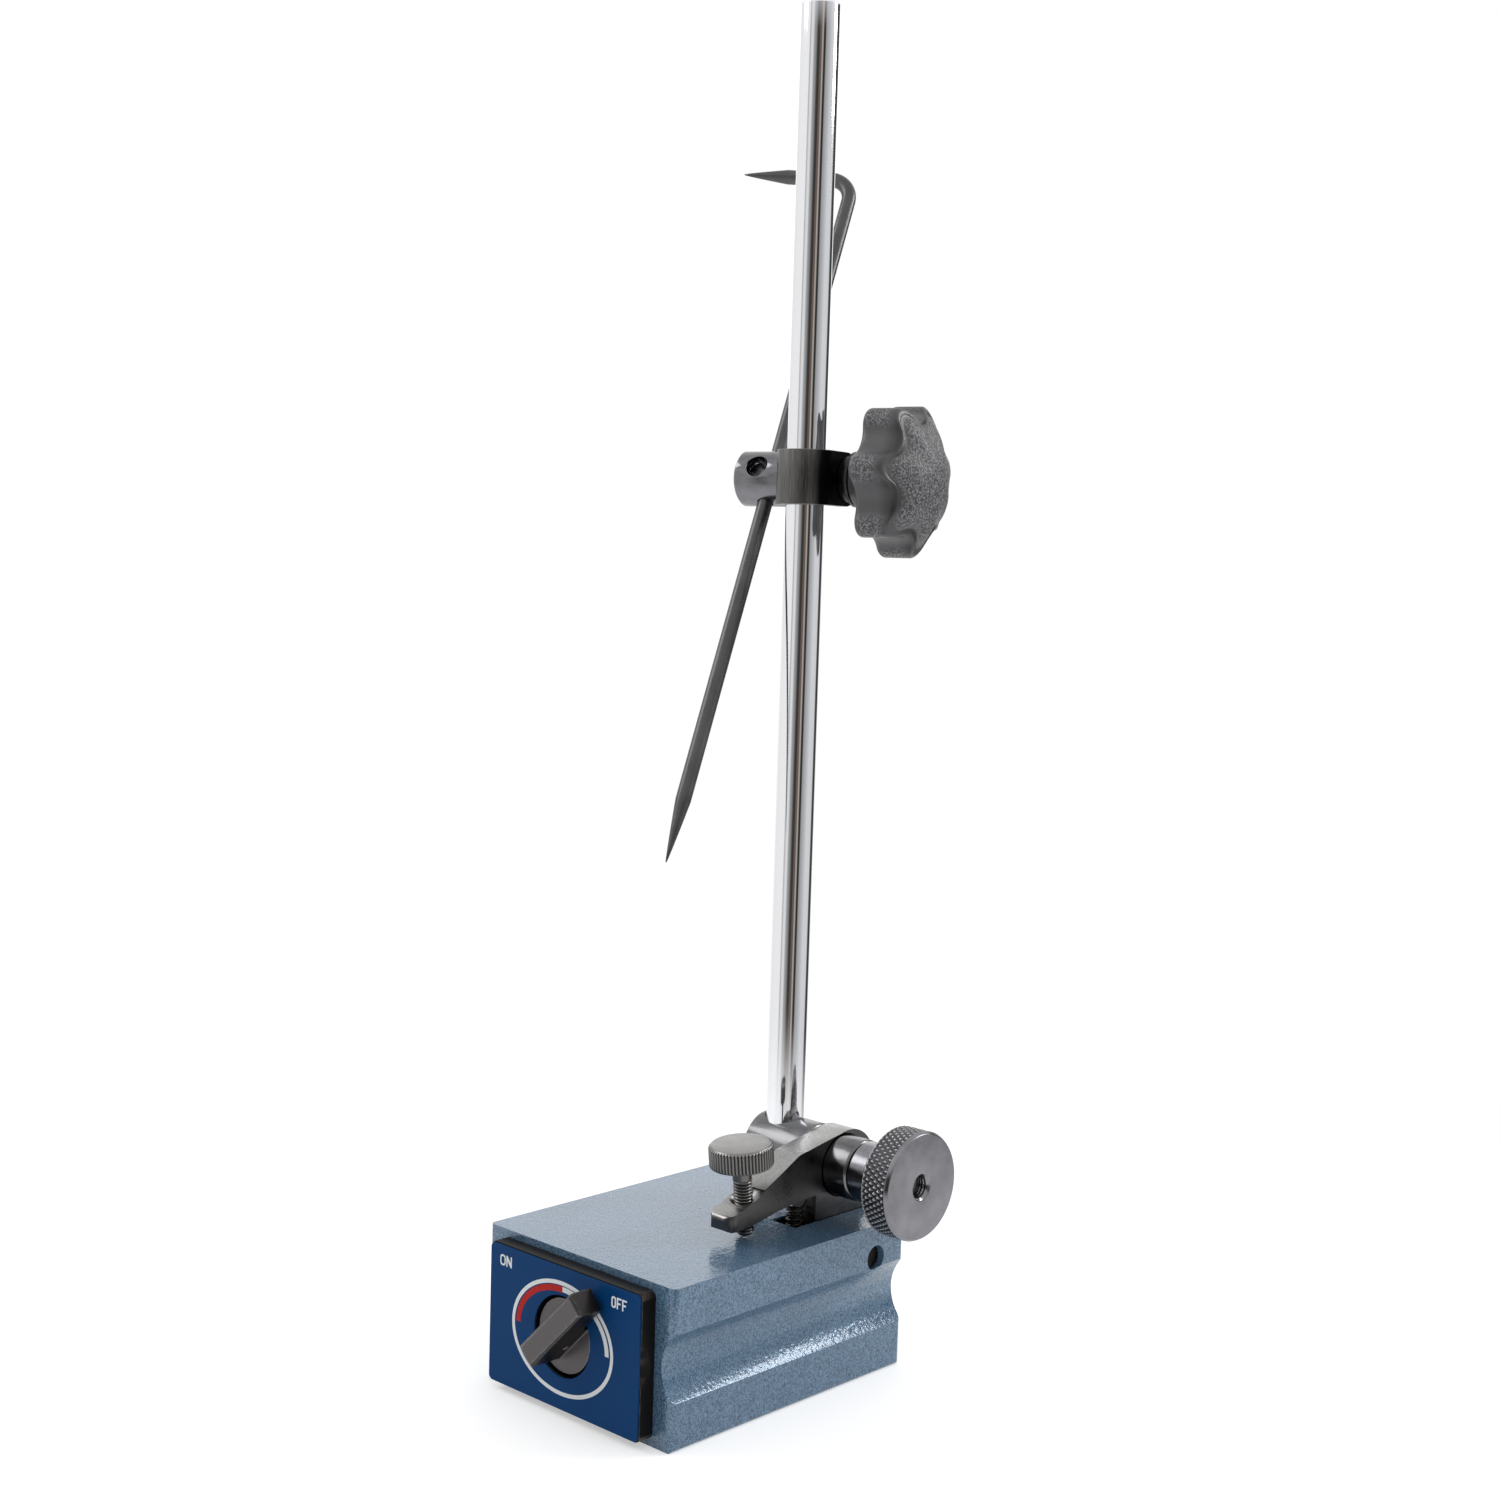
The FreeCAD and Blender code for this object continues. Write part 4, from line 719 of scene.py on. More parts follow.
def chrome(settings):
    """Hard chrome on a ground rod: mirror bright, with a trace of the grinding."""
    material, desk, skin = new_material("spindle_chrome")
    place = desk.place()
    stretched = desk.add("ShaderNodeMapping", {"Vector": place, "Scale": (1.0, 1.0, 0.02)}).outputs[0]
    lines = desk.noise(stretched, 2500.0, 2.0)
    dust = desk.noise(place, 900.0, 3.0, 0.7)
    desk.feed(skin["Base Color"], desk.mix(desk.ramp(dust, 0.55, 0.8, 0.0, 0.25), settings.chrome,
                                           darker(settings.chrome, 0.8)))
    skin["Metallic"].default_value = 1.0
    desk.feed(skin["Roughness"], desk.ramp(lines, 0.3, 0.7, 0.05, 0.1))
    return material


def dial_film(name, tone):
    """Printed film: flat colour with a faint mottle."""
    material, desk, skin = new_material(name)
    skin["Specular IOR Level"].default_value = 0.1
    grain = group(desk, "Fine grain", grain_group, size=0.12 * MM, depth=0.002 * MM, strength=0.3)
    dark = darker(tone, 0.93)
    desk.feed(skin["Base Color"], desk.mix(grain["Mask"], dark, tone))
    desk.feed(skin["Roughness"], desk.ramp(grain["Mask"], 0.3, 0.7, 0.47, 0.54))
    desk.feed(skin["Normal"], grain["Normal"])
    return material


def lever_casting(settings):
    """The lever's grey casting: a matt skin, worn brighter along its edges, and painted shade that makes
    every face not facing the front almost black.
    """
    material, desk, skin = new_material("lever_casting")
    worn = group(desk, "Edge wear", wear_group, amount=0.9, size=0.9 * MM)["Mask"]
    grain = group(desk, "Fine grain", grain_group, size=0.35 * MM, depth=0.03 * MM, strength=0.5)
    dark = darker(settings.lever, 0.8)
    colour = desk.mix(grain["Mask"], dark, settings.lever)
    # Painted shade: the faces that don't face the front are painted almost black.
    front = desk.mark("upper")
    colour = desk.mix(front, darker(settings.lever, 0.16), colour)
    desk.feed(skin["Base Color"], desk.mix(worn, colour, settings.bright))
    desk.feed(skin["Metallic"], desk.ramp(worn, 0.0, 1.0, 0.9, 1.0))
    desk.feed(skin["Roughness"], desk.ramp(grain["Mask"], 0.3, 0.7, 0.34, 0.46))
    desk.feed(skin["Normal"], grain["Normal"])
    return material


def plate_black(settings):
    """The plate's black coat, rubbed through at its edges."""
    material, desk, skin = new_material("plate_black")
    skin["Specular IOR Level"].default_value = 0.1
    worn = group(desk, "Edge wear", wear_group, amount=1.0, size=2.6 * MM)["Mask"]
    grain = group(desk, "Fine grain", grain_group, size=0.3 * MM, depth=0.01 * MM, strength=0.4)
    colour = desk.mix(grain["Mask"], srgb(10, 10, 10), srgb(22, 21, 21))
    desk.feed(skin["Base Color"], desk.mix(worn, colour, srgb(148, 132, 122)))
    desk.feed(skin["Metallic"], desk.maths("MULTIPLY", worn, 0.8))
    desk.feed(skin["Roughness"], desk.ramp(grain["Mask"], 0.3, 0.7, 0.4, 0.5))
    desk.feed(skin["Normal"], grain["Normal"])
    return material


def star_plastic(settings):
    """The star knob's moulded plastic, spark-grained on its dome and lobe ends, smooth in its valleys, with a
    dark band along its front rounding as painted reflection and the grain's light specks as painted glints.
    """
    material, desk, skin = new_material("star_plastic")
    place = desk.place()
    grained = desk.mark("grained")
    painted_dark_rim = desk.mark("painted_dark_rim")
    pits = desk.noise(place, 1900.0, 2.0, 0.6)
    soft = desk.noise(place, 260.0, 2.0)
    light = tuple(min(1.0, value * 2.7) for value in settings.plastic)
    dark = darker(settings.plastic, 0.25)
    shade = darker(settings.plastic, 0.75)
    colour = desk.mix(desk.ramp(soft, 0.3, 0.7, 0.0, 0.3), settings.plastic, shade)
    # Painted reflection: the band along the front's rounding is painted dark.
    colour = desk.mix(painted_dark_rim, colour, dark)
    # The grain's pits range from darker to much lighter; the light specks are painted glints.
    pits_and_painted_glints = desk.mix(desk.ramp(pits, 0.44, 0.62), darker(settings.plastic, 0.5), light)
    desk.feed(skin["Base Color"], desk.mix(grained, colour, pits_and_painted_glints))
    desk.feed(skin["Roughness"], desk.mix(grained, (0.36,) * 3, (0.46,) * 3))
    height = desk.maths("MULTIPLY", pits, desk.ramp(grained, 0.0, 1.0, 0.04, 1.0))
    desk.feed(skin["Normal"], desk.bump(height, 0.2 * MM, 1.0))
    return material


def plain_metal(name, tone, roughness, size=0.4):
    """A plain metal with a fine grain."""
    material, desk, skin = new_material(name)
    grain = group(desk, "Fine grain", grain_group, size=size * MM, depth=0.008 * MM, strength=0.4)
    desk.feed(skin["Base Color"], desk.mix(grain["Mask"], darker(tone, 0.8), tone))
    skin["Metallic"].default_value = 1.0
    desk.feed(skin["Roughness"], desk.ramp(grain["Mask"], 0.3, 0.7, roughness - 0.05, roughness + 0.08))
    desk.feed(skin["Normal"], grain["Normal"])
    return material


# Pieces

class SURFACE_GAUGE_OT_base(bpy.types.Operator):
    """Round the painted block's edges and give it its hammered paint"""

    bl_idname = "surface_gauge.base"
    bl_label = "Magnetic base"

    def execute(self, context):
        paint = context.scene.gauge_paint
        metals = context.scene.gauge_metals
        coat = hammered_paint(paint, metals)
        for node in ("pole_left", "pole_right"):
            mesh = eased_copy(node, paint.edge)
            show(node + "_block", mesh, "base", coat, "base_paint", node, smooth=False)
        finish_nodes(coat, "pole_separator")
        bright = turned_metal("bright_steel", metals.bright, 0.3)
        finish_nodes(bright, "plate_screws", "stop_pin")
        # The pivot pin is painted near black as painted shade in its hole.
        finish_nodes(plain_metal("pin_painted_shade", srgb(30, 28, 27), 0.4), "pivot_pin")
        finish_nodes(plain_metal("magnet_alloy", srgb(120, 118, 116), 0.4), "rotor_magnet")
        finish_nodes(plain_metal("soft_iron", srgb(140, 140, 142), 0.45), "rotor_shoes")
        finish_nodes(plain_metal("spigot_brass", metals.brass, 0.32), "rotor_spigot")
        return {"FINISHED"}


class SURFACE_GAUGE_OT_plate(bpy.types.Operator):
    """Finish the front plate and print the dial"""

    bl_idname = "surface_gauge.plate"
    bl_label = "Front plate and dial"

    def execute(self, context):
        dial = context.scene.gauge_dial
        metals = context.scene.gauge_metals
        mesh = mark_edges(eased_copy("front_plate", 0.45 * MM), 2.4)
        show("plate_cover", mesh, "base", plate_black(metals), "plate_black", "front_plate", smooth=False)
        finish_nodes(dial_film("dial_blue", dial.blue), "dial_label")
        white = dial_film("dial_white", dial.white)
        red = dial_film("dial_red", dial.red)
        ring = (dial.ring_across / MM, dial.ring_up / MM)
        height = dial.letter_height / MM
        prints = [
            ("dial_ring", print_arc(ring, dial.ring_line / MM, 0.0, FULL_TURN, 160), white),
            ("dial_red_arc", print_arc(INNER_ARCS, 1.5, math.pi / 2, math.pi, 48), red),
            ("dial_white_arc", print_arc(INNER_ARCS, 1.3, 0.0, math.pi / 2, 48), white),
            ("dial_word_on", print_word("ON", -23.15, WORDS_LOW, height), white),
            ("dial_word_off", print_word("OFF", 16.95, WORDS_LOW, height), white),
        ]
        for name, mesh, film in prints:
            show(name, mesh, "base", film, "dial_print", smooth=False)
        return {"FINISHED"}


DIAL_MIDDLE = (-0.1, 19.7)
INNER_ARCS = (16.55, 12.75)
WORDS_LOW = 32.1
PRINT_LIFT = 0.02
PRINT_THICKNESS = 0.03


def printed(name, outlines):
    """A thin printed shape on the dial, from lists of faces of (x, z) points in millimetres."""
    work = bmesh.new()
    for outline in outlines:
        corners = [work.verts.new((x * MM, (DIAL_FRONT + PRINT_LIFT) * MM, z * MM)) for x, z in outline]
        work.faces.new(corners)
    bmesh.ops.remove_doubles(work, verts=work.verts, dist=1e-7)
    made = bmesh.ops.extrude_face_region(work, geom=list(work.faces))
    lifted = [item for item in made["geom"] if isinstance(item, bmesh.types.BMVert)]
    bmesh.ops.translate(work, verts=lifted, vec=(0, -(PRINT_LIFT + PRINT_THICKNESS) * MM, 0))
    bmesh.ops.recalc_face_normals(work, faces=work.faces)
    mesh = bpy.data.meshes.new(name)
    work.to_mesh(mesh)
    work.free()
    return mesh


def print_arc(radii, line, start, end, steps):
    """An elliptical band about the dial's middle, its outer radii given, between two angles."""
    rims = []
    x, z = DIAL_MIDDLE
    angles = [start + (end - start) * step / steps for step in range(steps + 1)]
    for inset in (0.0, line):
        across, up = (radius - inset for radius in radii)
        rims.append([(x + across * math.cos(angle), z + up * math.sin(angle)) for angle in angles])
    outer, inner = rims
    return printed("arc", [[outer[i], outer[i + 1], inner[i + 1], inner[i]] for i in range(steps)])


def print_word(letters, left, low, height):
    """A word in plain narrow capitals."""
    width, stroke, gap = 0.74 * height, 0.155 * height, 0.1 * height
    if len(letters) > 2:
        width *= 0.76
    faces = []
    for letter in letters:
        x0, x1, z0, z1 = left, left + width, low, low + height
        if letter == "O":
            corner = width * 0.42
            outer = rounded_box(x0, x1, z0, z1, corner)
            inner = rounded_box(x0 + stroke, x1 - stroke, z0 + stroke, z1 - stroke, corner - stroke * 0.8)
            after = [corner_after % len(outer) for corner_after in range(1, len(outer) + 1)]
            faces += [[outer[i], outer[j], inner[j], inner[i]] for i, j in enumerate(after)]
        elif letter == "N":
            slope = height * 0.42
            faces.append([(x0, z0), (x0 + stroke, z0), (x0 + stroke, z1 - slope), (x1 - stroke, z0),
                          (x1, z0), (x1, z1), (x1 - stroke, z1), (x1 - stroke, z0 + slope),
                          (x0 + stroke, z1), (x0, z1)])
        else:
            middle = z0 + height * 0.5
            faces.append([(x0, z0), (x0 + stroke, z0), (x0 + stroke, middle - stroke / 2),
                          (x1 - gap, middle - stroke / 2), (x1 - gap, middle + stroke / 2),
                          (x0 + stroke, middle + stroke / 2), (x0 + stroke, z1 - stroke), (x1, z1 - stroke),
                          (x1, z1), (x0, z1)])
        left += width + gap
    return printed("word", faces)


def rounded_box(x0, x1, z0, z1, corner, steps=6):
    """A rectangle's outline with round corners."""
    points = []
    for cx, cz, first in ((x1 - corner, z1 - corner, 0.0), (x0 + corner, z1 - corner, 0.25),
                          (x0 + corner, z0 + corner, 0.5), (x1 - corner, z0 + corner, 0.75)):
        for step in range(steps + 1):
            angle = FULL_TURN * (first + 0.25 * step / steps)
            points.append((cx + corner * math.cos(angle), cz + corner * math.sin(angle)))
    return points


class SURFACE_GAUGE_OT_lever(bpy.types.Operator):
    """Cast the switch lever with soft edges"""

    bl_idname = "surface_gauge.lever"
    bl_label = "Switch lever"

    def execute(self, context):
        metals = context.scene.gauge_metals
        mesh = mark_edges(cast_copy("switch_lever", 0.2 * MM), 2.4)
        # Marks the front faces; the lever's material paints the others almost black as painted shade.
        mark_painted_light_faces(mesh, 0.0, (0, -1, 0), 0.6, 0.95)
        show("lever_casting", mesh, "switch", lever_casting(metals), "lever_alloy", "switch_lever")
        finish_nodes(bpy.data.materials["bright_steel"], "lever_pin")
        return {"FINISHED"}


class SURFACE_GAUGE_OT_rocker(bpy.types.Operator):
    """Forge the rocker and wind its spring"""

    bl_idname = "surface_gauge.rocker"
    bl_label = "Rocker and spring"

    def execute(self, context):
        metals = context.scene.gauge_metals
        # The rocker's faces that face up get a lighter tone as painted light.
        skin = black_steel("forged_steel", metals, metals.oxide, 0.3, cast=0.7,
                           painted_light_tone=srgb(170, 169, 168))
        mesh = mark_painted_light_faces(mark_edges(eased_copy("rocker", 0.4 * MM), 1.6))
        show("rocker_forging", mesh, "rocker", skin, "black_steel", "rocker", smooth=False)
        # The spring wire is darkened as painted shade of the slot it sits in.
        wire = plain_metal("spring_steel", srgb(58, 55, 50), 0.3, 0.2)
        coil = show("rocker_spring_wire", spring(wire), None, wire, "spring_steel", "rocker_spring")
        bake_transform(coil)
        return {"FINISHED"}


SPRING_AT = (16.5, 17.4)
SPRING_LOW = 25.0
SPRING_TOP = 45.5
SPRING_COIL = 1.95
SPRING_WIRE = 0.7
SPRING_TURNS = 11


def spring(material):
    """The rocker's spring: one round wire wound in even turns, a straight end at each side."""
    low, high = SPRING_LOW + SPRING_WIRE + SPRING_COIL, SPRING_TOP - SPRING_WIRE - SPRING_COIL
    steps = SPRING_TURNS * 20
    x, y = SPRING_AT
    # Each end: how far out it lies, in coil radii, and how far it has risen
    hook = [(1.0, 0.0), (1.0, SPRING_WIRE), (0.85, SPRING_WIRE + SPRING_COIL * 0.5),
            (0.5, SPRING_WIRE + SPRING_COIL * 0.85)]
    points = [(x + SPRING_COIL, y - SPRING_COIL * out, SPRING_LOW + rise) for out, rise in hook]
    for step in range(steps + 1):
        angle = FULL_TURN * SPRING_TURNS * step / steps
        points.append((x + SPRING_COIL * math.cos(angle), y + SPRING_COIL * math.sin(angle),
                       low + (high - low) * step / steps))
    points += [(x + SPRING_COIL, y + SPRING_COIL * out, SPRING_TOP - rise) for out, rise in reversed(hook)]
    line = bpy.data.meshes.new("spring_line")
    links = [(number, number + 1) for number in range(len(points) - 1)]
    line.from_pydata([Vector(point) * MM for point in points], links, [])
    return outward(settled(line, ("NODES", {"node_group": shared("Wire", wire_tree), "Material": material,
                                            "Radius": SPRING_WIRE / 2 * MM, "Sides": 12})))


class SURFACE_GAUGE_OT_fine_screw(bpy.types.Operator):
    """Turn the fine screw, cut its thread and knurl its head"""

    bl_idname = "surface_gauge.fine_screw"
    bl_label = "Fine screw"

    def execute(self, context):
        grips = context.scene.gauge_grips
        metals = context.scene.gauge_metals
        # The head's top gets a lighter tone as painted light; its crests are partly painted highlight and its
        # cuts get painted shade.
        steel = black_steel("screw_steel", metals, srgb(112, 110, 109), 0.28, painted_light_tone=srgb(144, 143, 141),
                            crests=0.3)
        reaches = [SCREW_TIP * step / 5 for step in range(5)]
        foot = [(reach, SCREW_DOME - math.sqrt(SCREW_DOME ** 2 - reach ** 2)) for reach in reaches]
        profile = foot + eased([
            (SCREW_TIP, 0.334), (SCREW_RADIUS, 1.2), (SCREW_RADIUS, SCREW_NECK),
            (SCREW_HEAD - 0.35, SCREW_NECK), (SCREW_HEAD, SCREW_NECK + 0.35),
            (SCREW_HEAD, SCREW_TOP - 0.7), (SCREW_HEAD - 0.7, SCREW_TOP), (0.0, SCREW_TOP)], 0.16)
        profile = spread(profile, 0.1, 1.2, 14.6)
        profile = spread(profile, 0.45, 18.5, 23.4)
        mesh = turned("fine_screw", profile, grips.ridges * 8, Matrix.Identity(4))
        mesh = grooves(mesh, steel, count=1, slant=1 / grips.thread_pitch, depth=0.44 * MM, start=1.1 * MM,
                       end=14.6 * MM, fade=0.4 * MM, least_radius=1.7 * MM, most_radius=3 * MM, crossed=0,
                       land=1.25)
        mesh = grooves(mesh, steel, count=grips.ridges, slant=0, depth=grips.ridge_depth, start=18.4 * MM,
                       end=23.5 * MM, fade=0.25 * MM, least_radius=7.3 * MM, most_radius=9 * MM, crossed=0,
                       land=1.3)
        # Marks the head's top for its painted light.
        mark_painted_light_faces(outward(mesh), 22.9 * MM)
        mesh.transform(screw_place())
        show("fine_screw_turned", outward(mesh), "fine_screw", steel, "black_steel", "fine_screw")
        return {"FINISHED"}


SCREW_TIP = 1.6
SCREW_DOME = 4.0
SCREW_RADIUS = 2.42
SCREW_NECK = 18.25
SCREW_HEAD = 8.1
SCREW_TOP = 23.85


class SURFACE_GAUGE_OT_spindle_clamp(bpy.types.Operator):
    """Finish the spindle's sleeve, stud and collar"""

    bl_idname = "surface_gauge.spindle_clamp"
    bl_label = "Spindle clamp"

    def execute(self, context):
        metals = context.scene.gauge_metals
        steel = black_steel("sleeve_steel", metals, srgb(118, 118, 120), 0.2)
        mesh = mark_edges(eased_copy("spindle_sleeve", 0.2 * MM), 1.4)
        show("spindle_sleeve_turned", mesh, "spindle_clamp", steel, "black_steel", "spindle_sleeve",
             smooth=False)
        finish_nodes(steel, "draw_stud")
        bore, edge, rim, long = 2.56, 0.5, 8.0, COLLAR_END - COLLAR_START
        outline = eased([(bore, 0.0), (rim - edge, 0.0), (rim, edge), (rim, long - edge), (rim - edge, long),
                         (bore, long), (bore, 0.0)], 0.15)
        outline.append(outline[0])
        mesh = turned("collar", outline, 96, clamp_place(COLLAR_START))
        show("collar_turned", mesh, "spindle_clamp", steel, "black_steel", "clamp_collar")
        return {"FINISHED"}


class SURFACE_GAUGE_OT_clamp_knob(bpy.types.Operator):
    """Turn the clamp knob and roll its diamond knurl"""

    bl_idname = "surface_gauge.clamp_knob"
    bl_label = "Clamp knob"

    def execute(self, context):
        grips = context.scene.gauge_grips
        metals = context.scene.gauge_metals
        # Bright knurl crests, partly wear and partly painted highlight, and painted shade in the cuts.
        steel = black_steel("knob_steel", metals, srgb(138, 137, 142), 0.2, crests=0.85)
        profile = eased([(2.7, 0.0), (7.45, 0.0), (7.95, 0.5), (7.95, 8.4), (12.0, 8.4), (13.9, 10.1),
                         (13.9, 17.2), (13.3, 18.1), (3.5, 18.1), (2.7, 17.3), (2.7, 0.0)], 0.2)
        profile = spread(profile, 0.2, 9.9, 17.0)
        profile[-1] = profile[0]
        mesh = turned("clamp_knob", profile, grips.diamonds * 10, Matrix.Identity(4))
        around = FULL_TURN * 13.9 * MM / grips.diamonds
        mesh = grooves(mesh, steel, count=grips.diamonds, slant=0.62 / around, depth=grips.diamond_depth,
                       start=10.0 * MM, end=17.1 * MM, fade=0.25 * MM, least_radius=12.8 * MM,
                       most_radius=15 * MM, crossed=1, land=1.12)
        mesh = grooves(mesh, steel, count=1, slant=1 / (1.0 * MM), depth=-0.35 * MM, start=10.5 * MM,
                       end=17.4 * MM, fade=0.3 * MM, least_radius=2.5 * MM, most_radius=2.8 * MM, crossed=0,
                       land=1.2)
        mesh.transform(clamp_place(KNOB_START))
        show("clamp_knob_turned", outward(mesh), "clamp_knob", steel, "knob_steel", "clamp_knob")
        return {"FINISHED"}


class SURFACE_GAUGE_OT_spindle(bpy.types.Operator):
    """Turn the plated spindle"""

    bl_idname = "surface_gauge.spindle"
    bl_label = "Spindle"

    def execute(self, context):
        top, radius, edge = 304.8, 5.0, 0.5
        profile = eased([(0.0, 0.0), (radius - edge, 0.0), (radius, edge), (radius, top - edge),
                         (radius - edge, top), (0.0, top)], 0.2)
        mesh = turned("spindle", spread(profile, 12.0), 160, at(0, CLAMP_AXIS[1], SPINDLE_BOTTOM))
        show("spindle_rod", mesh, "spindle", chrome(context.scene.gauge_metals), "rod_chrome", "spindle")
        return {"FINISHED"}


class SURFACE_GAUGE_OT_scriber_clamp(bpy.types.Operator):
    """Finish the strap, its washers and the scriber's sleeve and stud"""

    bl_idname = "surface_gauge.scriber_clamp"
    bl_label = "Scriber clamp"

    def execute(self, context):
        metals = context.scene.gauge_metals
        satin = strap_steel(metals)
        mesh = mark_edges(eased_copy("strap", 0.18 * MM), 1.2)
        show("strap_bent", mesh, "strap", satin, "black_steel", "strap", smooth=False)
        steel = black_steel("scriber_sleeve_steel", metals, srgb(126, 126, 130), 0.15)
        mesh = mark_edges(eased_copy("scriber_sleeve", 0.15 * MM), 1.2)
        show("scriber_sleeve_turned", mesh, "scriber_clamp", steel, "black_steel", "scriber_sleeve",
             smooth=False)
        dark = black_steel("washer_steel", metals, srgb(64, 63, 62), 0.24)
        finish_nodes(steel, "scriber_stud")
        finish_nodes(dark, "knob_spacer", "knob_washer")
        return {"FINISHED"}


def strap_steel(settings):
    """Blackened strip, brushed along its height, with its right leg painted near black as painted shade."""
    material, desk, skin = new_material("strap_steel")
    place = desk.place()
    stretched = desk.add("ShaderNodeMapping", {"Vector": place, "Scale": (1.0, 1.0, 0.06)}).outputs[0]
    lines = desk.noise(stretched, 2600.0, 3.0, 0.6)
    worn = group(desk, "Edge wear", wear_group, amount=0.9, size=1.0 * MM)["Mask"]
    tone = srgb(112, 110, 108)
    # Painted shade: beyond 5 mm along the clamp's X from the spindle's axis, the strap's leg is painted near
    # black.
    centred = desk.add("ShaderNodeMapping", {
        "Vector": place, "Location": (0.0, CLAMP_AXIS[1] * MM, 0.0), "Rotation": (0.0, 0.0, HOLDER_TURN)},
        vector_type="TEXTURE").outputs[0]
    along = desk.add("ShaderNodeSeparateXYZ", {0: centred}).outputs[0]
    black = desk.ramp(along, 5.0 * MM, 6.4 * MM)
    colour = desk.mix(desk.ramp(lines, 0.3, 0.7), darker(tone, 0.55), tone)
    colour = desk.mix(black, colour, srgb(30, 29, 29))
    desk.feed(skin["Base Color"], desk.mix(worn, colour, settings.bright))
    skin["Metallic"].default_value = 1.0
    desk.feed(skin["Roughness"], desk.ramp(lines, 0.3, 0.7, 0.3, 0.42))
    desk.feed(skin["Normal"], desk.bump(lines, 0.006 * MM, 0.5))
    return material


class SURFACE_GAUGE_OT_star_knob(bpy.types.Operator):
    """Mould the seven-lobed star knob"""

    bl_idname = "surface_gauge.star_knob"
    bl_label = "Star knob"

    def execute(self, context):
        lobes = context.scene.gauge_grips.lobes
        metals = context.scene.gauge_metals
        mesh = star(lobes)
        mesh.transform(holder_place(STAR_START, HOLDER_STUD_BACK, (math.pi / 2, "Y"), (STAR_TURN, "Z")))
        show("star_knob_moulded", outward(mesh), "star_knob", star_plastic(metals), "star_plastic",
             "star_knob")
        finish_nodes(plain_metal("insert_brass", metals.brass, 0.3), "star_knob_insert")
        return {"FINISHED"}


STAR_RADIUS = 20.0
STAR_VALLEY = 16.0
STAR_LOBE = 3.6
STAR_HUB = 7.6
STAR_WELL = 5.0
STAR_WELL_DEPTH = 12.0
STAR_BACK = 5.8
STAR_EDGE = 13.3
STAR_DOME = 23.1
STAR_ROUND = 1.5
STAR_FRONT_ROUND = 2.2
STAR_DRAPE = 0.35


def star_outline(lobes, angle):
    """The star's radius at an angle from a lobe's middle: round lobes and valleys, each a smooth arc."""
    half = math.pi / lobes
    out = STAR_RADIUS - STAR_LOBE
    across = out * math.cos(half)
    hollow = (STAR_LOBE ** 2 - out ** 2 - STAR_VALLEY ** 2 + 2 * STAR_VALLEY * across) / (
        2 * (STAR_VALLEY - across - STAR_LOBE))
    far = STAR_VALLEY + hollow
    share = STAR_LOBE / (STAR_LOBE + hollow)
    meet = Vector((out + (far * math.cos(half) - out) * share, far * math.sin(half) * share))
    off = abs((angle + half) % (2 * half) - half)
    if off < math.atan2(meet.y, meet.x):
        return out * math.cos(off) + math.sqrt(STAR_LOBE ** 2 - (out * math.sin(off)) ** 2)
    off = half - off
    return far * math.cos(off) - math.sqrt(hollow ** 2 - (far * math.sin(off)) ** 2)


def star_front(radius, share):
    """The grip's front at a radius and a share of the way to its edge: a dome that sinks into the valleys."""
    rise = STAR_DOME - STAR_EDGE
    ball = (STAR_RADIUS ** 2 + rise ** 2) / (2 * rise)
    plain, draped = (math.sqrt(ball ** 2 - reach ** 2) for reach in (radius, STAR_RADIUS * share))
    return STAR_DOME - ball + plain + (draped - plain) * STAR_DRAPE


